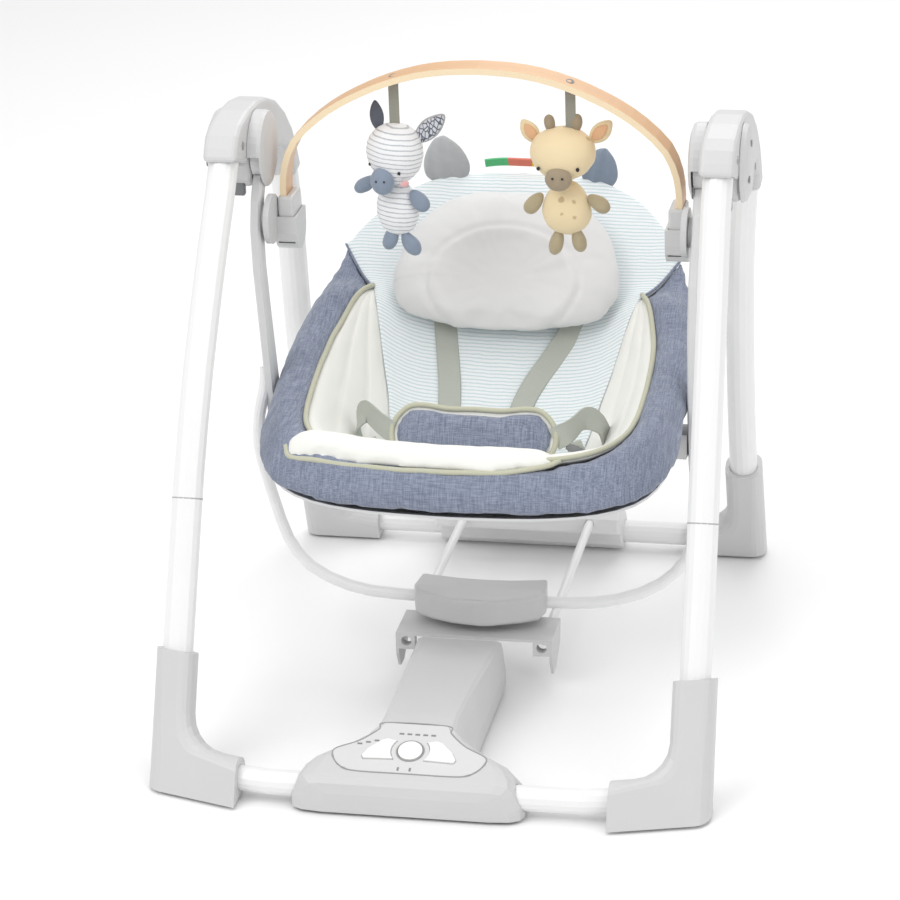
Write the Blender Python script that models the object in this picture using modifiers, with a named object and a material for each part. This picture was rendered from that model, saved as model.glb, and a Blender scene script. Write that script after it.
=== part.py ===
"""Portable baby swing: a folding A-frame with a hanging seat, a toy bar and a motor console.

Frame: metres, +Z up, origin on the floor under the middle of the swing. The baby faces -Y and
+X is to the right of someone who looks along +Y. Names ending in _left are at -X. The numbers
below are from the point under the seat, and the finished swing is moved by CENTRE_Y at the end.
"""
import math

import bmesh
import bpy
from mathutils import Matrix, Vector

# ---------------------------------------------------------------- driving dimensions
GAP = 0.0004            # clearance between pieces that touch
CENTRE_Y = 0.02326      # moves the finished swing so that it stands centred on the origin
LEG_R = 0.016           # leg tubes
CROSS_R = 0.0133        # floor tubes
ROD_R = 0.005           # telescopic rods
LOOP_R = 0.0065         # tube that hangs under the seat

FRONT_TUBE = (-0.364, 0.021)      # y, z of the front floor tube, and the hinge of the console
REAR_TUBE = (0.318, 0.021)        # y, z of the rear floor tube, and the hinge of the rods
FOLD_AXIS = (-0.023, 0.594)       # y, z: the same distance from both floor tubes
SWING_AXIS = (0.031, 0.575)       # y, z of the axles that carry the seat
RECLINE_AXIS = (0.016, 0.262)     # y, z of the seat's own pivots
TOY_AXIS = (0.006, 0.504)         # y, z of the toy bar's pivots

HUB_X = 0.2625                    # middle plane of a hub and of its legs' top ends
HUB_HALF = 0.0187                 # half the width of the hub's dome
DISC_R = 0.042                    # round covers on both sides of a hub
ARM_X = 0.2375                    # middle plane of an arm at its axle
ARM_HALF = 0.0055
PAD_T = 0.0025                    # rubber under the feet

ROD_X = 0.0750
ROD_Z = 0.0500
ROD_FRONT_Y = -0.057
SADDLE_Y = (-0.0755, -0.0150)
SADDLE_HALF = 0.0865
SADDLE_TOP = 0.0595

CONSOLE_X = -0.015                # the console sits a little left of the middle
CONSOLE_FLOOR = 0.003
PANEL_SLOPE = math.radians(19.6)
PANEL_BACK = (-0.305, 0.068)      # y, z of the console's highest line

TOY_BAR_Y = 0.040
TOY_BAR_HALF = 0.016
TOY_BAR_T = 0.0068
CUP_X = 0.2090
LIFT_GAP = 0.0006

SEAT_CENTRE_Y = 0.05
PAD_THICK = 0.013
TUB_THICK = 0.003

# ---------------------------------------------------------------- scene and small helpers
for old in list(bpy.data.objects):
    bpy.data.objects.remove(old, do_unlink=True)

PARTS = bpy.data.collections.new("baby_swing")
CUTTERS = bpy.data.collections.new("cutters")
bpy.context.scene.collection.children.link(PARTS)
bpy.context.scene.collection.children.link(CUTTERS)


def material(name, colour, roughness, metallic=0.0):
    mat = bpy.data.materials.new(name)
    mat.use_nodes = True
    shader = mat.node_tree.nodes["Principled BSDF"]
    shader.inputs["Base Color"].default_value = (*colour, 1.0)
    shader.inputs["Roughness"].default_value = roughness
    shader.inputs["Metallic"].default_value = metallic
    return mat


GREY = ((0.58, 0.58, 0.57), 0.45, 0.0)
DARK_GREY = ((0.16, 0.16, 0.17), 0.5, 0.0)
WHITE_PAINT = ((0.87, 0.87, 0.87), 0.3, 0.0)
WHITE_PLASTIC = ((0.88, 0.88, 0.87), 0.4, 0.0)
STEEL = ((0.62, 0.62, 0.63), 0.3, 1.0)
RUBBER = ((0.05, 0.05, 0.05), 0.8, 0.0)
WOOD = ((0.74, 0.45, 0.22), 0.5, 0.0)
CHAMBRAY = ((0.20, 0.24, 0.34), 0.9, 0.0)
CREAM = ((0.84, 0.83, 0.78), 0.9, 0.0)
PILLOW_GREY = ((0.72, 0.73, 0.74), 0.9, 0.0)
WEBBING = ((0.44, 0.46, 0.42), 0.85, 0.0)
BOARD_GREEN = ((0.04, 0.22, 0.10), 0.5, 0.0)
GIRAFFE = ((0.78, 0.62, 0.38), 0.9, 0.0)
ZEBRA = ((0.70, 0.74, 0.80), 0.9, 0.0)


def evaluated_mesh(obj):
    bpy.context.view_layer.update()
    graph = bpy.context.evaluated_depsgraph_get()
    return bpy.data.meshes.new_from_object(obj.evaluated_get(graph))


def solid_from(obj, name, frame=None):
    """A closed mesh object made from a curve or from an object with modifiers."""
    mesh = evaluated_mesh(obj)
    mesh.transform(frame if frame else obj.matrix_world)
    bm = bmesh.new()
    bm.from_mesh(mesh)
    bmesh.ops.remove_doubles(bm, verts=bm.verts, dist=0.00002)
    bmesh.ops.recalc_face_normals(bm, faces=bm.faces)
    bm.to_mesh(mesh)
    bm.free()
    old_data = obj.data
    bpy.data.objects.remove(obj, do_unlink=True)
    if isinstance(old_data, bpy.types.Mesh) and not old_data.users:
        bpy.data.meshes.remove(old_data)
    return link(mesh, name)


def link(mesh, name):
    mesh.name = name
    obj = bpy.data.objects.new(name, mesh)
    PARTS.objects.link(obj)
    return obj


def as_cutter(obj):
    PARTS.objects.unlink(obj)
    CUTTERS.objects.link(obj)
    obj.hide_render = True
    obj.display_type = "WIRE"
    return obj


def combine(obj, other, operation):
    mod = obj.modifiers.new(operation.lower(), "BOOLEAN")
    mod.operation = operation
    mod.object = as_cutter(other)
    mod.solver = "EXACT"
    return obj


def cut(obj, *others):
    for other in others:
        combine(obj, other, "DIFFERENCE")
    return obj


def join(obj, *others):
    for other in others:
        combine(obj, other, "UNION")
    return obj


def bevel(obj, width, segments=2, angle=30.0):
    mod = obj.modifiers.new("bevel", "BEVEL")
    mod.width = width
    mod.segments = segments
    mod.limit_method = "ANGLE"
    mod.angle_limit = math.radians(angle)
    mod.use_clamp_overlap = False
    return obj


def finish(obj, look, origin=None, smooth_angle=35.0):
    """Gives a node its own material, smooth shading and an origin on its joint's axis."""
    obj.data.materials.clear()
    obj.data.materials.append(material(obj.name, *look))
    for polygon in obj.data.polygons:
        polygon.use_smooth = True
    obj.data.set_sharp_from_angle(angle=math.radians(smooth_angle))
    if origin is not None:
        obj.data.transform(Matrix.Translation(-Vector(origin)))
        obj.location = origin
    return obj


# ---------------------------------------------------------------- shapes
def smooth_path(points, steps):
    """Points on a Catmull-Rom curve through the given points."""
    pts = [Vector(p) for p in points]
    pts = [2 * pts[0] - pts[1]] + pts + [2 * pts[-1] - pts[-2]]
    path = []
    for i in range(1, len(pts) - 2):
        a, b, c, d = pts[i - 1:i + 3]
        for k in range(steps):
            t = k / steps
            path.append(0.5 * (2 * b + (c - a) * t + (2 * a - 5 * b + 4 * c - d) * t ** 2
                               + (3 * b - a - 3 * c + d) * t ** 3))
    path.append(pts[-2])
    return path


def tube(name, points, radius, resolution=4, extend=0.0):
    """A solid round bar along a list of points, its ends moved outward by extend."""
    points = [Vector(p) for p in points]
    first, last = points[0] - points[1], points[-1] - points[-2]
    points[0] = points[0] + first.normalized() * extend
    points[-1] = points[-1] + last.normalized() * extend
    curve = bpy.data.curves.new(name, "CURVE")
    curve.dimensions = "3D"
    curve.bevel_depth = radius
    curve.bevel_resolution = resolution
    curve.use_fill_caps = True
    spline = curve.splines.new("POLY")
    spline.points.add(len(points) - 1)
    for point, place in zip(spline.points, points):
        point.co = (*place, 1.0)
    obj = bpy.data.objects.new(name, curve)
    PARTS.objects.link(obj)
    return solid_from(obj, name)


def plate(name, outline, frame, low, high):
    """A flat outline in the XY plane of a frame, thick from low to high along the frame's Z."""
    curve = bpy.data.curves.new(name, "CURVE")
    curve.dimensions = "2D"
    curve.fill_mode = "BOTH"
    curve.extrude = (high - low) / 2
    spline = curve.splines.new("POLY")
    spline.points.add(len(outline) - 1)
    for point, (x, y) in zip(spline.points, outline):
        point.co = (x, y, 0.0, 1.0)
    spline.use_cyclic_u = True
    obj = bpy.data.objects.new(name, curve)
    PARTS.objects.link(obj)
    return solid_from(obj, name, frame @ Matrix.Translation((0, 0, (high + low) / 2)))


def box(name, low, high):
    low, high = Vector(low), Vector(high)
    bpy.ops.mesh.primitive_cube_add(size=1)
    obj = bpy.context.object
    return settle(obj, name, Matrix.Translation((low + high) / 2) @ Matrix.Diagonal((*(high - low), 1)))


def cylinder_x(name, radius, x_low, x_high, y, z, sides=32):
    bpy.ops.mesh.primitive_cylinder_add(vertices=sides, radius=radius, depth=abs(x_high - x_low))
    frame = Matrix.Translation(((x_low + x_high) / 2, y, z)) @ Matrix.Rotation(math.pi / 2, 4, "Y")
    return settle(bpy.context.object, name, frame)


def cylinder(name, radius, low, high, sides=32):
    """A round bar between two places."""
    low, high = Vector(low), Vector(high)
    bpy.ops.mesh.primitive_cylinder_add(vertices=sides, radius=radius, depth=(high - low).length)
    turn = (high - low).to_track_quat("Z", "Y").to_matrix().to_4x4()
    return settle(bpy.context.object, name, Matrix.Translation((low + high) / 2) @ turn)


def ellipsoid(name, centre, radii, turn=0.0, rings=10, sides=16):
    bpy.ops.mesh.primitive_uv_sphere_add(segments=sides, ring_count=rings, radius=1)
    frame = Matrix.Translation(centre) @ Matrix.Rotation(turn, 4, "X") @ Matrix.Diagonal((*radii, 1))
    return settle(bpy.context.object, name, frame)


def settle(obj, name, frame):
    """Writes a primitive's place and size into its mesh and moves it to the parts."""
    obj.data.transform(frame)
    obj.name = name
    obj.data.name = name
    for collection in list(obj.users_collection):
        collection.objects.unlink(obj)
    PARTS.objects.link(obj)
    return obj


def disc(name, profile, x_sign, y, z, steps=32):
    """A turned piece: (radius, |x|) pairs, from its outer edge round to the axis, about an X axis."""
    bm = bmesh.new()
    verts = [bm.verts.new((r, 0.0, h)) for r, h in profile]
    for a, b in zip(verts, verts[1:]):
        bm.edges.new((a, b))
    mesh = bpy.data.meshes.new(name)
    bm.to_mesh(mesh)
    bm.free()
    obj = link(mesh, name)
    screw = obj.modifiers.new("turn", "SCREW")
    screw.steps = steps
    screw.render_steps = steps
    screw.axis = "Z"
    screw.use_merge_vertices = True
    screw.merge_threshold = 0.00005
    frame = Matrix.Translation((0, y, z)) @ Matrix.Rotation(x_sign * math.pi / 2, 4, "Y")
    return solid_from(obj, name, frame)


def loft(name, sections):
    """A closed skin over rings of points with equal counts, with flat ends."""
    bm = bmesh.new()
    rings = [[bm.verts.new(p) for p in ring] for ring in sections]
    count = len(rings[0])
    for near, far in zip(rings, rings[1:]):
        for i in range(count):
            j = (i + 1) % count
            bm.faces.new((near[i], near[j], far[j], far[i]))
    bm.faces.new(rings[0])
    bm.faces.new(list(reversed(rings[-1])))
    bmesh.ops.recalc_face_normals(bm, faces=bm.faces)
    mesh = bpy.data.meshes.new(name)
    bm.to_mesh(mesh)
    bm.free()
    return link(mesh, name)


def rounded_section(centre, across, along, half_a, half_b, corner=0.35):
    """Eight points of a rectangle with cut corners, about a centre, in two directions."""
    ca, cb = half_a * (1 - corner), half_b * (1 - corner)
    ring = [(half_a, -cb), (half_a, cb), (ca, half_b), (-ca, half_b),
            (-half_a, cb), (-half_a, -cb), (-ca, -half_b), (ca, -half_b)]
    return [centre + across * a + along * b for a, b in ring]


def ribbon(name, points, half_width, half_thick, side=Vector((1, 0, 0))):
    """A strap: a thin rectangle swept along points, its width along the side direction."""
    pts = [Vector(p) for p in points]
    rings = []
    for i, p in enumerate(pts):
        along = (pts[min(i + 1, len(pts) - 1)] - pts[max(i - 1, 0)]).normalized()
        across = (side - along * side.dot(along)).normalized()
        normal = along.cross(across)
        rings.append([p + across * a + normal * b for a, b in
                      ((half_width, -half_thick), (half_width, half_thick),
                       (-half_width, half_thick), (-half_width, -half_thick))])
    return loft(name, rings)


def interpolate(table, value):
    """Straight-line interpolation in a short list of (value, result) pairs."""
    if value <= table[0][0]:
        return table[0][1]
    for (a, fa), (b, fb) in zip(table, table[1:]):
        if value <= b:
            return fa + (fb - fa) * (value - a) / (b - a)
    return table[-1][1]


SIDES = (("left", -1.0), ("right", 1.0))
YZ_FRAME = Matrix(((0, 0, 1, 0), (1, 0, 0, 0), (0, 1, 0, 0), (0, 0, 0, 1)))   # x->Y, y->Z, z->X
XZ_FRAME = Matrix(((1, 0, 0, 0), (0, 0, -1, 0), (0, 1, 0, 0), (0, 0, 0, 1)))  # x->X, y->Z, z->-Y


def x_span(sign, near, far):
    """The low and high X of a span of |x| on one side."""
    return tuple(sorted((sign * near, sign * far)))


# ---------------------------------------------------------------- legs, feet and floor tubes
# |x|, y, z of the leg tubes' middle lines, from the hub down
FRONT_LEG = ((HUB_X, -0.0194, 0.5988), (0.2628, -0.058, 0.548), (0.2650, -0.097, 0.492),
             (0.2680, -0.159, 0.395), (0.2698, -0.212, 0.297), (0.2705, -0.258, 0.198),
             (0.2705, -0.292, 0.128), (0.2705, -0.311, 0.084))
REAR_LEG = ((HUB_X, 0.2130, 0.5150), (0.2592, 0.2195, 0.4600), (0.2568, 0.2222, 0.4000),
            (0.2560, 0.2320, 0.3000), (0.2555, 0.2520, 0.2050), (0.2555, 0.2765, 0.1280),
            (0.2555, 0.2930, 0.0840))
# |x|, y of the floor tubes, from the middle outward
FRONT_CROSS = ((0.0, FRONT_TUBE[0]), (0.145, FRONT_TUBE[0]), (0.170, -0.3625), (0.205, -0.3565),
               (0.237, -0.3480))
REAR_CROSS = ((0.0, REAR_TUBE[0]), (0.150, REAR_TUBE[0]), (0.225, REAR_TUBE[0]))
# |x| of a foot's collar, half its width, |x| of its inner end, y of its middle, sweep in plan, lean
FRONT_FOOT = (0.2705, 0.0215, 0.1925, -0.3385, 0.290, math.radians(24.0))
REAR_FOOT = (0.2555, 0.0210, 0.1860, 0.3170, 0.0, math.radians(-20.5))


def mirrored(points, sign):
    return [Vector((sign * x, y, z)) for x, y, z in points]


def leg(name, line, sign, radius, extend=0.0):
    return tube(name, smooth_path(mirrored(line, sign), 2), radius, 6, extend)


def floor_tube(name, line, z, radius, extend=0.0):
    right = smooth_path([(x, y, z) for x, y in line], 2)
    left = [Vector((-p.x, p.y, p.z)) for p in reversed(right[1:])]
    return tube(name, left + right, radius, 5, extend)


def foot(name, sign, shape, leg_line, cross_line, cross_z):
    """An elbow of nearly round section that holds a leg and a floor tube, with a flat sole."""
    x0, half, inner, base_y, sweep, lean = shape
    lean_sin, lean_cos = math.sin(lean), math.cos(lean)
    top = (0.129 - cross_z) / lean_cos
    bend = 0.034
    outline = [(x0 + half + 0.0015, -0.050), (x0 + half + 0.0010, 0.0), (x0 + half, top + 0.03),
               (x0 - half, top + 0.03)]
    outline += [(x0 - half - bend + bend * math.cos(a), half + bend - bend * math.sin(a))
                for a in (math.radians(18 * k) for k in range(6))]
    outline += [(inner - 0.03, half), (inner - 0.03, -0.050)]
    frame = Matrix(((sign, 0, 0, 0), (sweep, lean_sin, -lean_cos * sign, base_y - sweep * x0),
                    (0, lean_cos, lean_sin * sign, cross_z), (0, 0, 0, 1)))
    body = plate(name, outline, frame, -half, half)
    bevel(body, 0.0155, 4, 40)
    body = solid_from(body, name)
    above = [(0, top), (0.5, top), (0.5, top + 0.2), (0, top + 0.2)]
    inside = [(0, -0.2), (inner, -0.2), (inner, 0.3), (0, 0.3)]
    cut(body, plate(name + "_above", above, frame, -0.2, 0.2), plate(name + "_inside", inside, frame, -0.2, 0.2))
    cut(body, box(name + "_floor", (-1, -1, -0.5), (1, 1, PAD_T + GAP)))
    cut(body, leg(name + "_leg_bore", leg_line, sign, LEG_R + GAP, GAP))
    cut(body, floor_tube(name + "_tube_bore", cross_line, cross_z, CROSS_R + GAP, GAP))
    return body


def foot_pad(name, sign, shape):
    """A rubber sole with rounded corners."""
    x0, half, inner, base_y, sweep, lean = shape
    depth = 0.0110
    y = base_y - 0.018 * math.tan(lean)
    outline = [(x0 + half - 0.0080, -depth), (x0 + half - 0.0050, -depth + 0.003), (x0 + half - 0.0050, depth - 0.003),
               (x0 + half - 0.0080, depth), (inner + 0.0080, depth), (inner + 0.0050, depth - 0.003),
               (inner + 0.0050, -depth + 0.003), (inner + 0.0080, -depth)]
    frame = Matrix(((sign, 0, 0, 0), (sweep, 1, 0, y - sweep * x0), (0, 0, 1, 0), (0, 0, 0, 1)))
    return plate(name, outline, frame, 0.0, PAD_T)


def build_frame():
    fold = (0, *FOLD_AXIS)
    for side, sign in SIDES:
        finish(leg("front_leg_" + side, FRONT_LEG, sign, LEG_R), WHITE_PAINT, (sign * HUB_X, *FOLD_AXIS))
        finish(leg("rear_leg_" + side, REAR_LEG, sign, LEG_R), WHITE_PAINT)
        front = foot("front_foot_" + side, sign, FRONT_FOOT, FRONT_LEG, FRONT_CROSS, FRONT_TUBE[1])
        finish(front, GREY, fold)
        finish(foot("rear_foot_" + side, sign, REAR_FOOT, REAR_LEG, REAR_CROSS, REAR_TUBE[1]), GREY)
        finish(foot_pad("front_foot_pad_" + side, sign, FRONT_FOOT), RUBBER, fold)
        finish(foot_pad("rear_foot_pad_" + side, sign, REAR_FOOT), RUBBER)
    finish(floor_tube("front_cross_tube", FRONT_CROSS, FRONT_TUBE[1], CROSS_R), WHITE_PAINT, fold)
    finish(floor_tube("rear_cross_tube", REAR_CROSS, REAR_TUBE[1], CROSS_R), WHITE_PAINT)
    drill_front_legs()


def drill_front_legs():
    """Each front leg turns on a pin through its top end."""
    for side, sign in SIDES:
        low, high = x_span(sign, HUB_X - 0.03, HUB_X + 0.03)
        obj = bpy.data.objects["front_leg_" + side]
        cut(obj, cylinder_x("pin_bore_" + side, 0.0045 + GAP, low, high, *FOLD_AXIS, 16))


# ---------------------------------------------------------------- hubs
# y, z of the dome's outline, from the front of the front leg over the top to the rear leg
HUB_TOP = ((-0.0555, 0.5850), (-0.0480, 0.5980), (-0.0390, 0.6095), (-0.0220, 0.6170), (0.015, 0.6215),
           (0.055, 0.6200), (0.095, 0.6130), (0.135, 0.5980), (0.170, 0.5760), (0.200, 0.5480),
           (0.220, 0.5190), (0.2330, 0.4930))
HUB_UNDER = ((0.1985, 0.4880), (0.1945, 0.5080), (0.1750, 0.5300), (0.1300, 0.5480), (0.0760, 0.5560),
             (0.0500, 0.5420), (0.0150, 0.5370), (0.0020, 0.5480), (-0.0030, 0.5650))


def build_hubs():
    for side, sign in SIDES:
        finish(hub_housing("hub_housing_" + side, sign), GREY)
        outer = disc("hub_outer_cover_" + side, OUTER_COVER, sign, *SWING_AXIS)
        finish(outer, GREY)
        finish(inner_cover("hub_inner_cover_" + side, sign), GREY)
        finish(axle("swing_axle_" + side, sign), STEEL)
        low, high = x_span(sign, HUB_X - HUB_HALF - 0.0008, HUB_X + HUB_HALF + 0.0008)
        pin = cylinder_x("fold_pin_" + side, 0.0042, low, high, *FOLD_AXIS, 16)
        finish(pin, STEEL)
        finish(fold_button("fold_button_" + side, sign), DARK_GREY, (sign * HUB_X, 0.004, 0.5480))


def hub_housing(name, sign):
    """A dome over both legs: hollow round the front leg, a socket for the rear one."""
    frame = Matrix.Translation((sign * HUB_X, 0, 0)) @ YZ_FRAME
    body = plate(name, HUB_TOP + HUB_UNDER, frame, -HUB_HALF, HUB_HALF)
    bevel(body, 0.0060, 3, 60)
    body = solid_from(body, name)
    low, high = x_span(sign, HUB_X - LEG_R - 0.0009, HUB_X + LEG_R + 0.0009)
    room = [(-0.0735, 0.5560), (-0.0655, 0.5660), (-0.0555, 0.5795), (-0.0405, 0.5995), (-0.0360, 0.6075),
            (-0.0230, 0.6128), (-0.0110, 0.6110), (-0.0040, 0.6020), (-0.0050, 0.5400), (-0.0735, 0.5400)]
    cut(body, plate(name + "_room", room, YZ_FRAME, low, high))
    cut(body, leg(name + "_socket", REAR_LEG, sign, LEG_R + GAP, GAP))
    low, high = x_span(sign, HUB_X - 0.03, HUB_X + 0.03)
    cut(body, cylinder_x(name + "_pin_bore", 0.0042 + GAP, low, high, *FOLD_AXIS, 16))
    cut(body, cylinder_x(name + "_axle_bore", 0.0060 + GAP, low, high, *SWING_AXIS, 24))
    low, high = x_span(sign, HUB_X + 0.002, HUB_X + 0.03)
    cut(body, cylinder_x(name + "_pocket", 0.0260, low, high, *SWING_AXIS, 32))
    low, high = x_span(sign, HUB_X - 0.0100, HUB_X + 0.0100)
    cut(body, box(name + "_button_pocket", (low, 0.0090, 0.5000), (high, 0.0200, 0.5500)))
    return body


HUB_OUTER_X = HUB_X + HUB_HALF
HUB_INNER_X = HUB_X - HUB_HALF
# radius, |x| of the covers, from the outer edge round to the axis
OUTER_COVER = ((0.0, HUB_OUTER_X + 0.0100), (0.0220, HUB_OUTER_X + 0.0098), (0.0330, HUB_OUTER_X + 0.0085),
               (0.0395, HUB_OUTER_X + 0.0055), (DISC_R, HUB_OUTER_X + 0.0015),
               (DISC_R, HUB_OUTER_X + GAP), (0.0, HUB_OUTER_X + GAP))
INNER_COVER = ((0.0, HUB_INNER_X - 0.0150), (0.0, HUB_INNER_X - 0.0176), (0.0220, HUB_INNER_X - 0.0175),
               (0.0330, HUB_INNER_X - 0.0168), (0.0400, HUB_INNER_X - 0.0145), (DISC_R, HUB_INNER_X - 0.0105),
               (DISC_R, HUB_INNER_X - GAP), (0.0395, HUB_INNER_X - GAP), (0.0395, HUB_INNER_X - 0.0110),
               (0.0370, HUB_INNER_X - 0.0135), (0.0300, HUB_INNER_X - 0.0148), (0.0, HUB_INNER_X - 0.0150))


def inner_cover(name, sign):
    """A cup over the arm's ring, open below where the arm comes out."""
    body = disc(name, INNER_COVER[1:], sign, *SWING_AXIS)
    low, high = x_span(sign, HUB_INNER_X - 0.0130, HUB_INNER_X + 0.01)
    y, z = SWING_AXIS
    opening = [(-0.052, -0.050), (0.046, -0.050), (0.046, -0.004), (0.020, -0.012), (-0.020, -0.010),
               (-0.052, 0.008)]
    frame = Matrix.Translation((0, y, z)) @ YZ_FRAME
    return cut(body, plate(name + "_opening", opening, frame, low, high))


def axle(name, sign):
    """A headed pin through the hub and the arm's ring."""
    y, z = SWING_AXIS
    profile = ((0.0, HUB_X - 0.0328), (0.0105, HUB_X - 0.0328), (0.0105, HUB_X - 0.0312),
               (0.0060, HUB_X - 0.0312), (0.0060, HUB_X + 0.0120), (0.0, HUB_X + 0.0120))
    return disc(name, profile, sign, y, z, 24)


def fold_button(name, sign):
    """The catch under the hub behind the front leg, pushed up to fold."""
    low, high = x_span(sign, HUB_X - 0.0090, HUB_X + 0.0090)
    body = box(name, (low, 0.0100, 0.5270), (high, 0.0190, 0.5460))
    return bevel(body, 0.0015, 2)


# ---------------------------------------------------------------- rear housing, rods, console
def build_base():
    finish(rear_housing("rear_housing"), GREY, (0, *REAR_TUBE))
    for side, sign in SIDES:
        x = sign * ROD_X
        rod = cylinder("link_rod_" + side, ROD_R, (x, ROD_FRONT_Y, ROD_Z), (x, 0.2870, ROD_Z), 16)
        finish(bevel(rod, 0.0012, 2), WHITE_PAINT, (x, *REAR_TUBE))
    finish(saddle("saddle_bracket"), GREY, (0, *FRONT_TUBE))
    finish(console("control_housing"), GREY, (0, *FRONT_TUBE))
    finish(base_plate("control_base_plate"), DARK_GREY, (0, *FRONT_TUBE))
    door = box("battery_door", (CONSOLE_X - 0.0330, -0.2700, 0.0010), (CONSOLE_X + 0.0330, -0.1500, 0.0026))
    finish(door, DARK_GREY, (CONSOLE_X, -0.2700, 0.0018))
    board = box("circuit_board", (CONSOLE_X - 0.0300, -0.3450, 0.0400), (CONSOLE_X + 0.0300, -0.2900, 0.0416))
    finish(board, BOARD_GREEN, (CONSOLE_X, *FRONT_TUBE))
    build_panel()


def rear_housing(name):
    """A sleeve that turns on the rear floor tube and holds both rods."""
    outline = [(0.2640, 0.0390), (0.2680, 0.0560), (0.2790, 0.0620), (0.3060, 0.0560), (0.3300, 0.0420),
               (0.3390, 0.0280), (0.3390, 0.0100), (0.3330, 0.0035), (0.3060, 0.0035), (0.2960, 0.0120),
               (0.2900, 0.0280)]
    body = plate(name, outline, YZ_FRAME, -0.1100, 0.1100)
    bevel(body, 0.0030, 2, 50)
    body = solid_from(body, name)
    cut(body, cylinder_x(name + "_bore", CROSS_R + GAP, -0.2, 0.2, *REAR_TUBE, 32))
    for side, sign in SIDES:
        x = sign * ROD_X
        cut(body, cylinder(name + "_rod_" + side, ROD_R + GAP, (x, 0.20, ROD_Z), (x, 0.2876, ROD_Z), 16))
    return body


def saddle(name):
    """An inverted channel across the beam's end, with an ear and a rod guide at each side."""
    y0, y1 = SADDLE_Y
    t = 0.0030
    body = box(name, (-SADDLE_HALF, y0, SADDLE_TOP - t), (SADDLE_HALF, y1, SADDLE_TOP))
    ear = [(y0, SADDLE_TOP), (y0, 0.0340), (y0 + 0.0100, 0.0160), (y0 + 0.0260, 0.0160),
           (y1 - 0.0040, 0.0340), (y1, SADDLE_TOP)]
    for side, sign in SIDES:
        low, high = x_span(sign, SADDLE_HALF - t, SADDLE_HALF)
        join(body, plate(name + "_ear_" + side, ear, YZ_FRAME, low, high))
        for k, (a, b) in enumerate(((y0, y0 + 0.0120), (y1 - 0.0160, y1))):
            low, high = x_span(sign, ROD_X - 0.0095, SADDLE_HALF - t / 2)
            join(body, box(f"{name}_guide_{side}_{k}", (low, a, ROD_Z - 0.0095), (high, b, SADDLE_TOP - t / 2)))
        x = sign * ROD_X
        cut(body, cylinder(name + "_hole_" + side, ROD_R + 0.0008, (x, -0.10, ROD_Z), (x, 0.02, ROD_Z), 16))
    return body


# y, half width at the floor, half width on top, height of the console and its beam
CONSOLE = ((-0.3880, 0.0860, 0.0800, 0.0240), (-0.3855, 0.1080, 0.0990, 0.0345),
           (-0.3800, 0.1180, 0.1060, 0.0412), (-0.3700, 0.1215, 0.1040, 0.0448),
           (-0.3560, 0.1215, 0.0960, 0.0498), (-0.3440, 0.1190, 0.0830, 0.0541),
           (-0.3330, 0.0980, 0.0640, 0.0580), (-0.3200, 0.0700, 0.0490, 0.0627),
           (-0.3080, 0.0530, 0.0405, 0.0670), (-0.2850, 0.0500, 0.0385, 0.0685),
           (-0.2300, 0.0500, 0.0400, 0.0665), (-0.1600, 0.0500, 0.0430, 0.0620),
           (-0.0760, 0.0500, 0.0460, 0.0565))


def console_rings(inset, floor, top_inset):
    rings = []
    last = len(CONSOLE) - 1
    for k, (y, low_half, top_half, height) in enumerate(CONSOLE):
        y += inset if k == 0 else (-inset if k == last else 0.0)
        wl, wt, h = low_half - inset, top_half - inset, height - top_inset
        lip = CONSOLE_FLOOR + 0.35 * (height - CONSOLE_FLOOR)
        side = [(wl, floor), (wl, lip), (wl + (wt - wl) * 0.55, h * 0.80), (wt, h * 0.955), (wt * 0.90, h)]
        half = [(CONSOLE_X + x, y, z) for x, z in side]
        other = [(CONSOLE_X - x, y, z) for x, z in reversed(side)]
        rings.append(half + other)
    return rings


def console(name):
    """The motor console and its beam: one shell, open below, that turns on the front floor tube."""
    body = loft(name, console_rings(0.0, CONSOLE_FLOOR, 0.0))
    body = solid_from(body, name)
    cut(body, loft(name + "_room", console_rings(0.0030, -0.02, 0.0062)))
    cut(body, cylinder_x(name + "_bore", CROSS_R + GAP, -0.3, 0.3, *FRONT_TUBE, 32))
    cut(body, plate(name + "_panel_seat", grown(PANEL, 0.0004), PANEL_FRAME, -0.0022, 0.02))
    for key, outline in BUTTONS.items():
        cut(body, plate(f"{name}_{key}_hole", grown(outline, 0.0004), PANEL_FRAME, -0.0200, 0.01))
    return body


def base_plate(name):
    """Closes the console from below, with a doorway to the batteries."""
    half = 0.0460
    outline = [(CONSOLE_X - 0.0700, -0.3360), (CONSOLE_X + 0.0700, -0.3360), (CONSOLE_X + half, -0.3100),
               (CONSOLE_X + half, -0.0800), (CONSOLE_X - half, -0.0800), (CONSOLE_X - half, -0.3100)]
    body = plate(name, outline, Matrix.Identity(4), CONSOLE_FLOOR + 0.0004, CONSOLE_FLOOR + 0.0024)
    return cut(body, box(name + "_doorway", (CONSOLE_X - 0.0290, -0.2660, -0.01),
                         (CONSOLE_X + 0.0290, -0.1540, 0.02)))


# ---------------------------------------------------------------- control panel
PANEL_FRAME = (Matrix.Translation((CONSOLE_X - 0.001, *PANEL_BACK))
               @ Matrix.Rotation(PANEL_SLOPE, 4, "X"))
# x, distance along the slope (negative towards the front)
PANEL = ((0.0330, -0.0020), (-0.0330, -0.0020), (-0.0385, -0.0120), (-0.0560, -0.0290), (-0.0790, -0.0420),
         (-0.0800, -0.0520), (-0.0720, -0.0640), (-0.0560, -0.0710), (0.0560, -0.0710), (0.0720, -0.0640),
         (0.0800, -0.0520), (0.0790, -0.0420), (0.0560, -0.0290), (0.0385, -0.0120))
DIAL_R = 0.0128
DIAL_AT = (0.0000, -0.0400)


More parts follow.
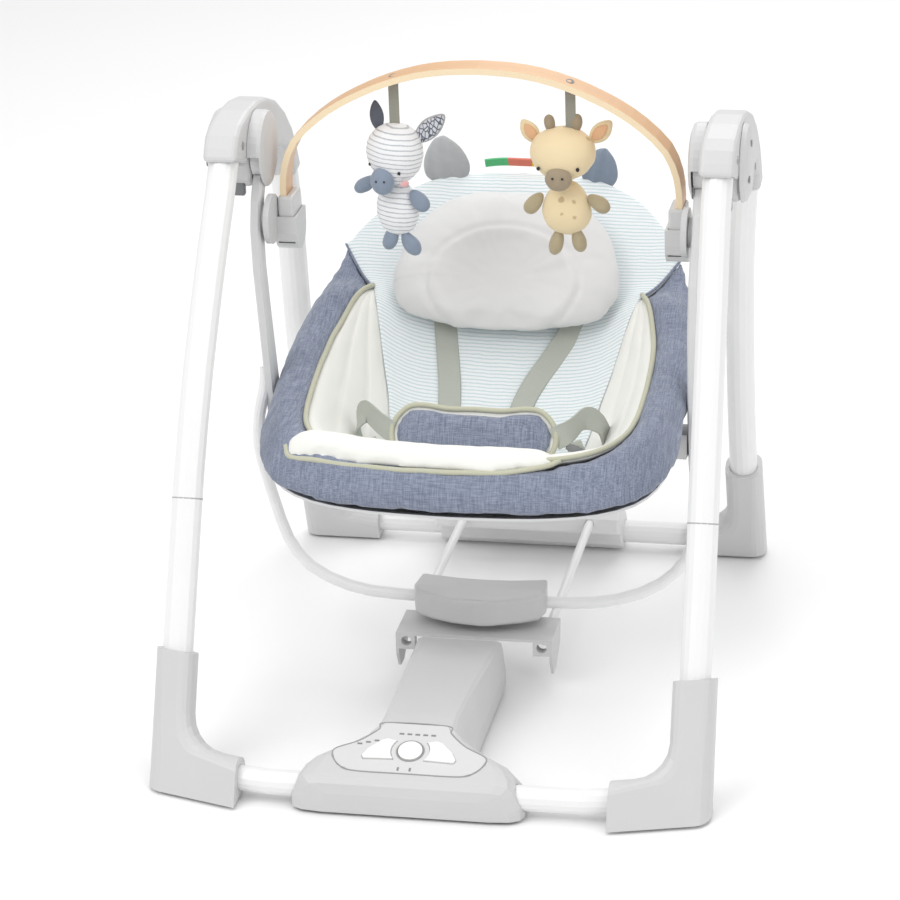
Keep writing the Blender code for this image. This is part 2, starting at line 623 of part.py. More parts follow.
def arc(centre, radius, start, end, count):
    return [(centre[0] + radius * math.cos(a), centre[1] + radius * math.sin(a))
            for a in (math.radians(start + (end - start) * k / (count - 1)) for k in range(count))]


def crescent(sign):
    """A rounded triangle beside the dial, hollowed to follow it."""
    inner = arc(DIAL_AT, DIAL_R + 0.0075, -38, 38, 7)
    tip = [(0.0250, -0.0250), (0.0320, -0.0275), (0.0440, -0.0400), (0.0490, -0.0500), (0.0470, -0.0540)]
    outline = inner + tip
    outline = [(sign * x, y) for x, y in outline]
    return outline if sign > 0 else list(reversed(outline))


BUTTONS = {"power": arc(DIAL_AT, DIAL_R, 0, 350, 24), "timer": crescent(-1), "music": crescent(1)}


def grown(outline, distance):
    """An outline moved outward by a distance, corner by corner."""
    count = len(outline)
    area = sum(outline[i][0] * outline[(i + 1) % count][1] - outline[(i + 1) % count][0] * outline[i][1]
               for i in range(count))
    turn = 1.0 if area > 0 else -1.0
    result = []
    for i, here in enumerate(outline):
        back, ahead = Vector(outline[i - 1]), Vector(outline[(i + 1) % count])
        p = Vector(here)
        n1, n2 = (Vector((d.y, -d.x)).normalized() * turn for d in (p - back, ahead - p))
        n = (n1 + n2).normalized()
        result.append(tuple(p + n * distance / max(0.4, n.dot(n1))))
    return result


def build_panel():
    panel = plate("control_panel", PANEL, PANEL_FRAME, -0.0018, 0.0002)
    for key, outline in BUTTONS.items():
        cut(panel, plate(f"panel_{key}_hole", grown(outline, 0.0005), PANEL_FRAME, -0.01, 0.01))
    finish(panel, GREY, (0, *FRONT_TUBE))
    for key, outline in BUTTONS.items():
        button = plate(key + "_button", outline, PANEL_FRAME, -0.0040, 0.0020)
        finish(bevel(button, 0.0007, 2, 60), WHITE_PLASTIC, PANEL_FRAME @ Vector((*DIAL_AT, 0)))


# ---------------------------------------------------------------- swing arms, loop and magnet housing
# |x|, y, z of an arm's middle line below its ring, then half its depth along Y
ARM = ((ARM_X, 0.0200, 0.5520, 0.0135), (ARM_X, 0.0030, 0.5280, 0.0130), (0.2370, -0.0080, 0.4980, 0.0125),
       (0.2350, -0.0130, 0.4550, 0.0125), (0.2330, -0.0080, 0.3950, 0.0130), (0.2320, 0.0010, 0.3350, 0.0150),
       (0.2315, 0.0090, 0.2850, 0.0165), (0.2315, 0.0150, 0.2450, 0.0165), (0.2315, 0.0165, 0.2330, 0.0120),
       (0.2315, 0.0165, 0.2285, 0.0060))
# |x|, y, z of the loop, from inside the arm down to the middle
LOOP = ((0.2370, -0.0010, 0.3350), (0.2385, -0.0050, 0.3120), (0.2435, -0.0130, 0.2850),
        (0.2460, -0.0120, 0.2480), (0.2440, 0.0060, 0.2050), (0.2380, 0.0140, 0.1700), (0.2230, 0.0080, 0.1290),
        (0.1960, -0.0040, 0.1020), (0.1500, -0.0150, 0.0855), (0.0950, -0.0220, 0.0815), (0.0, -0.0240, 0.0815))
MAGNET_FLOOR = 0.0695
MAGNET_TOP = 0.1000


def loop_path(steps=2):
    half = smooth_path(LOOP, steps)
    return [Vector((-p.x, p.y, p.z)) for p in half] + list(reversed(half[:-1]))


def arm(name, sign):
    """A flat curved bar with a ring at its top; the loop tube lies in a groove of its outer face."""
    rings = [rounded_section(Vector((sign * x, y, z)), Vector((1, 0, 0)), Vector((0, 1, 0)), ARM_HALF, half)
             for x, y, z, half in ARM]
    body = loft(name, rings)
    low, high = x_span(sign, ARM_X - ARM_HALF, ARM_X + ARM_HALF)
    join(body, cylinder_x(name + "_ring", 0.0320, low, high, *SWING_AXIS, 32))
    low, high = x_span(sign, ARM_X - ARM_HALF - 0.0044, ARM_X)
    join(body, cylinder_x(name + "_boss", 0.0160, low, high, *TOY_AXIS, 24))
    low, high = x_span(sign, 0.20, 0.26)
    cut(body, cylinder_x(name + "_axle_bore", 0.0060 + GAP, low, high, *SWING_AXIS, 24))
    cut(body, cylinder_x(name + "_recline_bore", 0.0050 + GAP, low, high, *RECLINE_AXIS, 16))
    cut(body, tube(name + "_groove", loop_path(), LOOP_R + GAP, 4, GAP))
    return body


def build_swing():
    origin = (0, *SWING_AXIS)
    for side, sign in SIDES:
        finish(arm("swing_arm_" + side, sign), GREY, origin)
    finish(tube("swing_loop_tube", loop_path(), LOOP_R, 4), WHITE_PAINT, origin)
    finish(magnet_housing("magnet_housing"), GREY, origin)
    magnet = box("magnet", (-0.0300, -0.0620, MAGNET_FLOOR + 0.0006), (0.0300, -0.0420, MAGNET_FLOOR + 0.0066))
    finish(magnet, STEEL, origin)


def magnet_housing(name):
    """A shield-shaped case clipped round the loop's lowest stretch."""
    outline = [(-0.0700, 0.0020), (-0.0735, -0.0300), (-0.0690, -0.0480), (-0.0500, -0.0590), (-0.0250, -0.0680),
               (0.0, -0.0710), (0.0250, -0.0680), (0.0500, -0.0590), (0.0690, -0.0480), (0.0735, -0.0300),
               (0.0700, 0.0020)]
    body = plate(name, outline, Matrix.Identity(4), MAGNET_FLOOR, MAGNET_TOP)
    bevel(body, 0.0045, 3, 40)
    body = solid_from(body, name)
    scoop = cylinder(name + "_scoop", 0.60, (0, -0.0335, MAGNET_TOP + 0.5930), (0, 0.30, MAGNET_TOP + 0.5930), 128)
    cut(body, scoop)
    cut(body, tube(name + "_bore", loop_path(), LOOP_R + GAP, 4))
    cut(body, box(name + "_pocket", (-0.0306, -0.0626, 0.0), (0.0306, -0.0414, MAGNET_FLOOR + 0.0072)))
    return body


# ---------------------------------------------------------------- toy bar
# x, z of the right half of the bar's outer face, from the plug to the top
TOY_ARCH = ((0.2170, 0.5040), (0.2180, 0.5300), (0.2150, 0.5580), (0.2030, 0.5870), (0.1770, 0.6130),
            (0.1510, 0.6310), (0.1260, 0.6440), (0.1000, 0.6550), (0.0660, 0.6650), (0.0330, 0.6700),
            (0.0, 0.6715))
PLUG_HALF = 0.0195
CUP_HALF = 0.0230
TOY_HANG = {"zebra": (-0.0925, 0.6565), "giraffe": (0.0975, 0.6555)}


def build_toy_bar():
    lift_origin = (0, *TOY_AXIS)
    half = smooth_path([(x, z, 0) for x, z in TOY_ARCH], 2)
    outer = [(p.x, p.y) for p in half] + [(-p.x, p.y) for p in reversed(half[:-1])]
    inner = [tuple(p) for p in grown(outer + [(0, 0.3)], -TOY_BAR_T)[:len(outer)]]
    inner[0] = (outer[0][0] - TOY_BAR_T, outer[0][1])
    inner[-1] = (-inner[0][0], inner[0][1])
    frame = Matrix.Translation((0, TOY_BAR_Y, 0)) @ XZ_FRAME
    bar = plate("toy_bar", outer + list(reversed(inner)), frame, -TOY_BAR_HALF, TOY_BAR_HALF)
    finish(bar, WOOD, lift_origin)
    for side, sign in SIDES:
        finish(toy_plug("toy_bar_plug_" + side, sign, outer, inner), GREY, lift_origin)
        finish(toy_cup("toy_bar_cup_" + side, sign), GREY, lift_origin)
    for name, look in (("zebra", ZEBRA), ("giraffe", GIRAFFE)):
        x, z = TOY_HANG[name]
        finish(toy(name + "_toy", x, z - TOY_BAR_T), look, (x, TOY_BAR_Y, z - TOY_BAR_T))


def toy_plug(name, sign, outer, inner):
    """A tapered block that grips the bar's end and drops into the cup."""
    low, high = x_span(sign, CUP_X - 0.0060, CUP_X + 0.0115)
    body = box(name, (low, TOY_BAR_Y - PLUG_HALF, 0.4720), (high, TOY_BAR_Y + PLUG_HALF, 0.5240))
    bevel(body, 0.0030, 2)
    body = solid_from(body, name)
    slot = grown(outer + list(reversed(inner)), GAP)
    frame = Matrix.Translation((0, TOY_BAR_Y, 0)) @ XZ_FRAME
    return cut(body, plate(name + "_slot", slot, frame, -TOY_BAR_HALF - GAP, TOY_BAR_HALF + GAP))


def toy_cup(name, sign):
    """A pocket with a round floor on a flange that turns on the arm's boss."""
    low, high = x_span(sign, CUP_X - 0.0092, CUP_X + 0.0147)
    y = TOY_BAR_Y
    outline = [(y - CUP_HALF, 0.5020), (y - CUP_HALF, 0.4840)]
    outline += arc((y, 0.4840), CUP_HALF, 180, 360, 9)[1:-1]
    outline += [(y + CUP_HALF, 0.4840), (y + CUP_HALF, 0.5020)]
    body = plate(name, outline, YZ_FRAME, low, high)
    low, high = x_span(sign, CUP_X + 0.0121, CUP_X + 0.0182)
    join(body, cylinder_x(name + "_flange", 0.0270, low, high, *TOY_AXIS, 32))
    low, high = x_span(sign, CUP_X - 0.0060 - LIFT_GAP, CUP_X + 0.0115 + LIFT_GAP)
    cut(body, box(name + "_pocket", (low, y - PLUG_HALF - LIFT_GAP, 0.4720 - LIFT_GAP),
                  (high, y + PLUG_HALF + LIFT_GAP, 0.60)))
    return body


def toy(name, x, z):
    """A plain hanging toy: strap, head, body and feet in one solid."""
    y = TOY_BAR_Y
    body = ellipsoid(name, (x, y, z - 0.0780), (0.0330, 0.0240, 0.0300))
    join(body, ellipsoid(name + "_body", (x, y, z - 0.1400), (0.0240, 0.0190, 0.0340)))
    for foot in (-1, 1):
        join(body, ellipsoid(name + "_foot", (x + foot * 0.0120, y - 0.0030, z - 0.1740), (0.0100, 0.0085, 0.0160)))
    join(body, box(name + "_strap", (x - 0.0055, y - 0.0010, z - 0.0600), (x + 0.0055, y + 0.0010, z - 0.0036)))
    return body


# ---------------------------------------------------------------- seat
# |x|, y of the seat's edge in plan, from the front round to the head
SEAT_EDGE = ((0.0, -0.1900), (0.0600, -0.1880), (0.1100, -0.1830), (0.1580, -0.1710), (0.1950, -0.1480),
             (0.2150, -0.1150), (0.2235, -0.0750), (0.2235, -0.0300), (0.2235, 0.0200), (0.2235, 0.0800),
             (0.2200, 0.1300), (0.2080, 0.1750), (0.1900, 0.2230), (0.1640, 0.2520), (0.1270, 0.2780),
             (0.0680, 0.2950), (0.0, 0.3000))
SEAT_FLOOR = ((-0.19, 0.2300), (-0.10, 0.2180), (0.00, 0.2180), (0.05, 0.2360), (0.10, 0.2740), (0.15, 0.3240),
              (0.20, 0.3730), (0.30, 0.4680))
SEAT_RIM = ((-0.19, 0.2630), (0.10, 0.3270), (0.14, 0.3430), (0.18, 0.3660), (0.225, 0.4010), (0.30, 0.4710))
RINGS = (0.22, 0.42, 0.60, 0.74, 0.85, 0.92, 0.965, 1.0)


ROLL_HEIGHT = 0.058
# radial fraction, share of the roll's height: the soft roll round the front and sides
ROLL = ((0.60, 0.0), (0.74, 0.75), (0.85, 1.0), (0.92, 0.72), (0.965, 0.42), (1.0, 0.0))
ROLL_FADES = ((0.14, 1.0), (0.20, 0.0))


def roll_height(y, radial):
    """How far the pad's roll stands over the bucket: none on the head's slope."""
    return ROLL_HEIGHT * interpolate(ROLL, radial) * interpolate(ROLL_FADES, y)


def seat_surface(x, y, radial):
    """Height of the sitting surface: a bucket whose walls climb steeply near the edge."""
    floor = interpolate(SEAT_FLOOR, y)
    return floor + (interpolate(SEAT_RIM, y) - floor) * radial ** 3.2


def edge_points(steps=2):
    half = smooth_path([(x, y, 0) for x, y in SEAT_EDGE], steps)
    return half + [Vector((-p.x, p.y, 0)) for p in reversed(half[1:-1])]


def bowl(name, radials, lift, thick, rolled=False):
    """A dished solid under the sitting surface, out to the last of the radial fractions."""
    centre = Vector((0, SEAT_CENTRE_Y, 0))
    edge = edge_points()
    bm = bmesh.new()

    def skin(offset, rolled=False):
        middle = bm.verts.new((0, SEAT_CENTRE_Y, seat_surface(0, SEAT_CENTRE_Y, 0) + offset))
        rings = []
        for r in radials:
            ring = []
            for p in edge:
                q = centre + (p - centre) * r
                over = roll_height(q.y, r) if rolled else 0.0
                ring.append(bm.verts.new((q.x, q.y, seat_surface(q.x, q.y, r) + offset + over)))
            rings.append(ring)
        return middle, rings

    top, top_rings = skin(lift, rolled)
    low, low_rings = skin(lift - thick)
    count = len(edge)
    for i in range(count):
        j = (i + 1) % count
        bm.faces.new((top, top_rings[0][i], top_rings[0][j]))
        bm.faces.new((low, low_rings[0][j], low_rings[0][i]))
        for a, b in zip(top_rings, top_rings[1:]):
            bm.faces.new((a[i], b[i], b[j], a[j]))
        for a, b in zip(low_rings, low_rings[1:]):
            bm.faces.new((a[i], a[j], b[j], b[i]))
        bm.faces.new((top_rings[-1][i], low_rings[-1][i], low_rings[-1][j], top_rings[-1][j]))
    bmesh.ops.recalc_face_normals(bm, faces=bm.faces)
    mesh = bpy.data.meshes.new(name)
    bm.to_mesh(mesh)
    bm.free()
    return link(mesh, name)


def build_seat():
    origin = (0, *RECLINE_AXIS)
    finish(bowl("seat_pad", RINGS, 0.0, PAD_THICK, True), CHAMBRAY, origin)
    tub = bowl("seat_frame", RINGS[:-1], -PAD_THICK - 0.0010, TUB_THICK)
    finish(tub, GREY, origin)
    for side, sign in SIDES:
        finish(recline_bracket("recline_bracket_" + side, sign), WHITE_PLASTIC, (sign * 0.2260, *RECLINE_AXIS))
        shoulder = [(sign * 0.0740, 0.1450, 0.3310), (sign * 0.0600, 0.0950, 0.2880), (sign * 0.0440, 0.0450, 0.2580),
                    (sign * 0.0360, 0.0200, 0.2540)]
        finish(ribbon("shoulder_strap_" + side, shoulder, 0.0125, 0.0008), WEBBING, origin)
        waist = [(sign * 0.1330, 0.0300, 0.2620), (sign * 0.1220, 0.0050, 0.2720), (sign * 0.1080, -0.0200, 0.2760),
                 (sign * 0.0960, -0.0320, 0.2740)]
        finish(ribbon("waist_strap_" + side, waist, 0.0125, 0.0008, Vector((0, -0.4, 0.9))), WEBBING, origin)
    pillow = ellipsoid("head_pillow", (0, 0.1880, 0.4060), (0.1390, 0.0900, 0.0250), math.radians(43.5), 12, 24)
    finish(pillow, PILLOW_GREY, origin)
    belly = ellipsoid("belly_pad", (0, -0.0330, 0.2770), (0.0900, 0.0240, 0.0300), math.radians(-20), 12, 24)
    finish(belly, CHAMBRAY, origin)


def recline_bracket(name, sign):
    """A plate on the seat's side whose pin turns in the arm."""
    y, z = RECLINE_AXIS
    low, high = x_span(sign, 0.1700, 0.2252)
    outline = [(y - 0.0240, z - 0.0100), (y + 0.0200, z - 0.0130), (y + 0.0260, z + 0.0080), (y + 0.0160, z + 0.0150),
               (y - 0.0160, z + 0.0150)]
    body = plate(name, outline, YZ_FRAME, low, high)
    cut(body, bowl(name + "_seat_room", RINGS, 0.1, 0.1 + PAD_THICK + 0.0010 + TUB_THICK + GAP))
    low, high = x_span(sign, 0.2240, 0.2365)
    return join(body, cylinder_x(name + "_pin", 0.0050, low, high, y, z, 16))


build_frame()
build_hubs()
build_base()
build_swing()
build_toy_bar()
build_seat()
for piece in list(PARTS.objects) + list(CUTTERS.objects):
    piece.location.y += CENTRE_Y
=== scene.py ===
"""Dresses the folding baby swing: cloth, webbing, toys, fittings and finishes round its moving frame."""

import math

import bpy
from mathutils import Matrix, Vector, noise


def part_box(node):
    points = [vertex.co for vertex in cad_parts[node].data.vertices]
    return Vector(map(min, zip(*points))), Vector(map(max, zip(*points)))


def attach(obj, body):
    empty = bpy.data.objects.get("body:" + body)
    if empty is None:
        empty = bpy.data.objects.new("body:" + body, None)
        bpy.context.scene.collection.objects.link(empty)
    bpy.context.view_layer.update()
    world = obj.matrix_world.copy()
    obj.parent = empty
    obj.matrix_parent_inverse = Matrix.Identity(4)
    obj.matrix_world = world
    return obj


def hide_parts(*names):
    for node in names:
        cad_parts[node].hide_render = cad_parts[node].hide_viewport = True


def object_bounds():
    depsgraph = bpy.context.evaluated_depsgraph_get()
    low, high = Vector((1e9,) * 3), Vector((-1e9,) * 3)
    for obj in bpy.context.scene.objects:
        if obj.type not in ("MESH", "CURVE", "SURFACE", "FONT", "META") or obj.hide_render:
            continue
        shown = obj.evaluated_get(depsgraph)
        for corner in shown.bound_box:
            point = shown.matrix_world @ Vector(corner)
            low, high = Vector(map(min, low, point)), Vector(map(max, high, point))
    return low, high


bl_info = {
    "name": "Folding Baby Swing",
    "version": (1, 0, 0),
    "blender": (4, 5, 0),
    "location": "View3D > Sidebar > Swing",
    "description": "Makes the seat cloth, harness, hanging toys, fittings and finishes of a "
                   "folding baby swing",
    "category": "Object",
}

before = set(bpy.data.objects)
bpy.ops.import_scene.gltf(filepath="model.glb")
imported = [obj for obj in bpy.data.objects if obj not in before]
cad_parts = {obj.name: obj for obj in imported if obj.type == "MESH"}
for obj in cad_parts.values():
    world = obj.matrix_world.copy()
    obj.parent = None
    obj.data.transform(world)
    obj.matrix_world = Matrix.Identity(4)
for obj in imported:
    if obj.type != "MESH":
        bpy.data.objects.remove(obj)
CAD_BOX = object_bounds()
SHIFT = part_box("seat_pad")[0].y + 0.19  # the tables below count y from the middle of the seat's floor
MIDDLE = 0.05

# Half of the seat's plan, from the front middle round to the head: (x, y).
EDGE = (
    (0, -0.19), (0.06, -0.188), (0.11, -0.183), (0.158, -0.171), (0.195, -0.148), (0.215, -0.115),
    (0.2235, -0.075), (0.2235, -0.03), (0.2235, 0.02), (0.2235, 0.08), (0.22, 0.13), (0.208, 0.175),
    (0.19, 0.223), (0.164, 0.252), (0.127, 0.278), (0.068, 0.295), (0, 0.30),
)
# Heights down the middle of the seat and round its rim: (y, z).
FLOOR = ((-0.19, 0.23), (-0.10, 0.218), (0, 0.218), (0.05, 0.236), (0.10, 0.274), (0.15, 0.324),
         (0.20, 0.373),
         (0.30, 0.468))
RIM = ((-0.19, 0.263), (0.10, 0.327), (0.14, 0.343), (0.18, 0.366), (0.225, 0.401), (0.30, 0.471))
# How the cover climbs from floor (0) to rim (1), and the roll that stands on the rim, both along the radius.
CLIMB = ((0, 0), (0.3, 0.03), (0.45, 0.1), (0.6, 0.32), (0.7, 0.58), (0.8, 0.85), (0.9, 1), (1.1, 1))
ROLL = ((0, 0), (0.5, 0), (0.6, 0.2), (0.7, 0.6), (0.8, 0.95), (0.86, 1), (0.93, 0.85), (0.97, 0.6),
        (1, 0.15),
        (1.05, -0.2))
# Half of the piped seam between the roll and the quilted insert, from the front middle to the striped panel.
SEAM = (
    (0, -0.158), (0.06, -0.157), (0.11, -0.150), (0.148, -0.132), (0.169, -0.10), (0.178, -0.06),
    (0.181, -0.01), (0.181, 0.04), (0.178, 0.085), (0.170, 0.125), (0.161, 0.153), (0.153, 0.174),
)
APEX = (0.194, 0.224)
ROLL_OVER_RIM = 0.033  # how far the roll stands over the rim, in metres
FILL_FRAMES = 20  # steps of cloth while a piece is being filled
FILL_STIFFNESS = 12.0
FILL_BENDING = 0.4
# Half width of the striped back panel at each y.
PANEL = ((-0.06, 0.094), (0, 0.103), (0.04, 0.11), (0.083, 0.12), (0.112, 0.131), (0.145, 0.143),
         (0.174, 0.153))


def blend_of(table, t):
    """The value of a table at t, in straight steps."""
    if t <= table[0][0]:
        return table[0][1]
    for (a, low), (b, high) in zip(table, table[1:]):
        if t <= b:
            return low + (high - low) * (t - a) / (b - a)
    return table[-1][1]


def spaced(points, count, closed=False):
    """Points evenly along a smooth line through the given ones."""
    given = [Vector(p) for p in points]
    n = len(given)
    fine = []
    for i in range(n if closed else n - 1):
        a = given[(i - 1) % n] if closed or i else 2 * given[0] - given[1]
        b, c = given[i], given[(i + 1) % n]
        d = given[(i + 2) % n] if closed or i + 2 < n else 2 * given[-1] - given[-2]
        for k in range(16):
            t = k / 16
            fine.append(0.5 * (2 * b + (c - a) * t + (2 * a - 5 * b + 4 * c - d) * t * t
                               + (3 * b - a - 3 * c + d) * t ** 3))
    fine.append(fine[0] if closed else given[-1])
    runs = [0.0]
    for a, b in zip(fine, fine[1:]):
        runs.append(runs[-1] + (b - a).length)
    out = []
    k = 0
    steps = count if closed else count - 1
    for i in range(count):
        want = runs[-1] * i / steps
        while k < len(runs) - 2 and runs[k + 1] < want:
            k += 1
        span = runs[k + 1] - runs[k] or 1
        out.append(fine[k].lerp(fine[k + 1], (want - runs[k]) / span))
    return out


def mirrored(half):
    """A plan line from the left side to the right one, through its front middle."""
    return [(-x, y) for x, y in reversed(half[1:])] + list(half)


EDGE_ANGLES = [(math.atan2(y - MIDDLE, x), math.hypot(x, y - MIDDLE)) for x, y in EDGE]


def reach(x, y):
    """How far a plan point lies out to the seat's edge: 0 in the middle, 1 on the edge."""
    return math.hypot(x, y - MIDDLE) / blend_of(EDGE_ANGLES, math.atan2(y - MIDDLE, abs(x)))


def cover_height(x, y, roll=ROLL_OVER_RIM):
    """The cover's upper face over a plan point."""
    r = min(reach(x, y), 1.08)
    low, high = blend_of(FLOOR, y), blend_of(RIM, y)
    front = min(max((0.20 - y) / 0.06, 0), 1)
    front = front * front * (3 - 2 * front)
    climb = (1 - front) * r ** 3.2 + front * blend_of(CLIMB, r)
    return low + (high - low) * climb + roll * front * blend_of(ROLL, r)


def smooth_height(x, y, size=0.012):
    """The cover's height, with the creases of its tables eased out."""
    total = 2 * cover_height(x, y)
    for k in range(8):
        total += cover_height(x + size * math.cos(k * math.pi / 4), y + size * math.sin(k * math.pi / 4))
    return total / 10


# ---- meshes ------------------------------------------------------------


def new_piece(name, points, faces, uv=None):
    """A mesh object from points and faces, with an optional (u, v) for each point."""
    mesh = bpy.data.meshes.new(name)
    mesh.from_pydata([tuple(p) for p in points], [], faces)
    mesh.update()
    if uv:
        layer = mesh.uv_layers.new(name="Cloth")
        for loop in mesh.loops:
            layer.data[loop.index].uv = uv[loop.vertex_index]
    piece = bpy.data.objects.new(name, mesh)
    bpy.context.scene.collection.objects.link(piece)
    return piece


def alone(piece):
    """Selects one piece and nothing else."""
    bpy.ops.object.select_all(action="DESELECT")
    piece.select_set(True)
    bpy.context.view_layer.objects.active = piece


def tidy(piece, angle=180):
    """Closes a piece's doubled points, turns its faces outwards and shades it."""
    alone(piece)
    bpy.ops.object.mode_set(mode="EDIT")
    bpy.ops.mesh.select_all(action="SELECT")
    bpy.ops.mesh.remove_doubles(threshold=0.00005)
    bpy.ops.mesh.dissolve_degenerate(threshold=0.00002)
    bpy.ops.mesh.select_all(action="SELECT")
    bpy.ops.mesh.normals_make_consistent(inside=False)
    bpy.ops.object.mode_set(mode="OBJECT")
    if angle >= 180:
        bpy.ops.object.shade_smooth()
    else:
        bpy.ops.object.shade_smooth_by_angle(angle=math.radians(angle))
    return piece


def settle(piece, shift=True):
    """Puts a finished piece's place into its mesh, with its object at the origin."""
    alone(piece)
    bpy.ops.object.transform_apply(location=True, rotation=True, scale=True)
    if shift:
        piece.data.transform(Matrix.Translation((0, SHIFT, 0)))
    piece.data.update()
    return piece


def pad_of(name, grid, up, down, uv=None):
    """A closed pad over a grid of plan points: a crowned upper face and a lower one with the same border."""
    rows, columns = len(grid), len(grid[0])
    points, top, under, marks = [], [], [], []
    for i, row in enumerate(grid):
        top.append([])
        under.append([])
        for j, (x, y) in enumerate(row):
            s, t = i / (rows - 1), j / (columns - 1)
            z = smooth_height(x, y)
            top[-1].append(len(points))
            points.append((x, y, z + up(s, t, x, y)))
            marks.append(uv(s, t, x, y) if uv else (x, y))
            if 0 < i < rows - 1 and 0 < j < columns - 1:
                under[-1].append(len(points))
                points.append((x, y, z - down(s, t, x, y)))
                marks.append(marks[-1])
            else:
                under[-1].append(top[-1][-1])
    faces = []
    for i in range(rows - 1):
        for j in range(columns - 1):
            faces.append((top[i][j], top[i + 1][j], top[i + 1][j + 1], top[i][j + 1]))
            faces.append((under[i][j], under[i][j + 1], under[i + 1][j + 1], under[i + 1][j]))
    return tidy(new_piece(name, points, faces, marks))


def tube(name, path, radius, closed=False, sides=10):
    """A round cord along a path of points."""
    path = [Vector(p) for p in path]
    n = len(path)
    points, faces, marks = [], [], []
    side = None
    run = 0.0
    for i, p in enumerate(path):
        ahead = path[(i + 1) % n] if closed or i < n - 1 else p
        behind = path[i - 1] if closed or i else p
        along = (ahead - behind).normalized()
        if side is None:
            side = along.orthogonal().normalized()
        side = (side - along * side.dot(along)).normalized()
        other = along.cross(side)
        run += (p - path[i - 1]).length if i else 0
        for k in range(sides):
            a = 2 * math.pi * k / sides
            points.append(p + (side * math.cos(a) + other * math.sin(a)) * radius)
            marks.append((k / sides * 2 * math.pi * radius, run))
    for i in range(n if closed else n - 1):
        for k in range(sides):
            a, b = i * sides + k, i * sides + (k + 1) % sides
            c, d = ((i + 1) % n) * sides + (k + 1) % sides, ((i + 1) % n) * sides + k
            faces.append((a, b, c, d))
    if not closed:
        faces.append(tuple(range(sides - 1, -1, -1)))
        faces.append(tuple((n - 1) * sides + k for k in range(sides)))
    return tidy(new_piece(name, points, faces, marks))


def ribbon(name, path, across, width, thick, ease=0.3):
    """A flat strap along a path; across holds the way that its width lies at each end."""
    n = len(path)
    points, faces, marks = [], [], []
    run = 0.0
    section = ((-1, -ease), (-0.96, -1), (-0.5, -1), (0, -1), (0.5, -1), (0.96, -1), (1, -ease), (1, ease),
               (0.96, 1), (0.5, 1), (0, 1), (-0.5, 1), (-0.96, 1), (-1, ease))
    for i, p in enumerate(path):
        along = (path[min(i + 1, n - 1)] - path[max(i - 1, 0)]).normalized()
        f = i / (n - 1) * (len(across) - 1)
        k = min(int(f), len(across) - 2)
        wide = Vector(across[k]).lerp(Vector(across[k + 1]), f - k)
        wide = (wide - along * wide.dot(along)).normalized()
        thin = along.cross(wide)
        run += (p - path[i - 1]).length if i else 0
        for a, b in section:
            points.append(p + wide * (a * width / 2) + thin * (b * thick / 2))
            marks.append((a * width / 2, run))
    m = len(section)
    for i in range(n - 1):
        for k in range(m):
            faces.append((i * m + k, i * m + (k + 1) % m, (i + 1) * m + (k + 1) % m, (i + 1) * m + k))
    faces.append(tuple(range(m - 1, -1, -1)))
    faces.append(tuple((n - 1) * m + k for k in range(m)))
    return tidy(new_piece(name, points, faces, marks), angle=50)


def ball(name, centre, radii, turn=(0, 0, 0), shape=None, rings=24, segments=36):
    """A stuffed round form, shaped point by point: shape takes a unit point and gives the one it becomes."""
    bpy.ops.object.select_all(action="DESELECT")
    bpy.ops.mesh.primitive_uv_sphere_add(segments=segments, ring_count=rings, radius=1)
    piece = bpy.context.object
    piece.name = name
    piece.data.name = name
    if shape:
        for v in piece.data.vertices:
            v.co = shape(v.co.copy())
    spin = Matrix.Rotation(turn[2], 4, "Z") @ Matrix.Rotation(turn[1], 4, "Y") @ Matrix.Rotation(turn[0], 4,
                                                                                                 "X")
    piece.data.transform(Matrix.Translation(centre) @ spin @ Matrix.Diagonal((*radii, 1)))
    bpy.ops.object.shade_smooth()
    return piece


def ripple(piece, depth, size, offset=0.0):
    """Soft dents and swells over a piece, moved along its normals."""
    shape = piece.data
    moves = []
    for v in shape.vertices:
        p = v.co / size
        p += Vector((offset, offset * 0.7, -offset))
        amount = noise.noise(p) + 0.45 * noise.noise(p * 2.3)
        moves.append(v.normal * (amount * depth))
    for v, move in zip(shape.vertices, moves):
        v.co += move
    shape.update()
    return piece


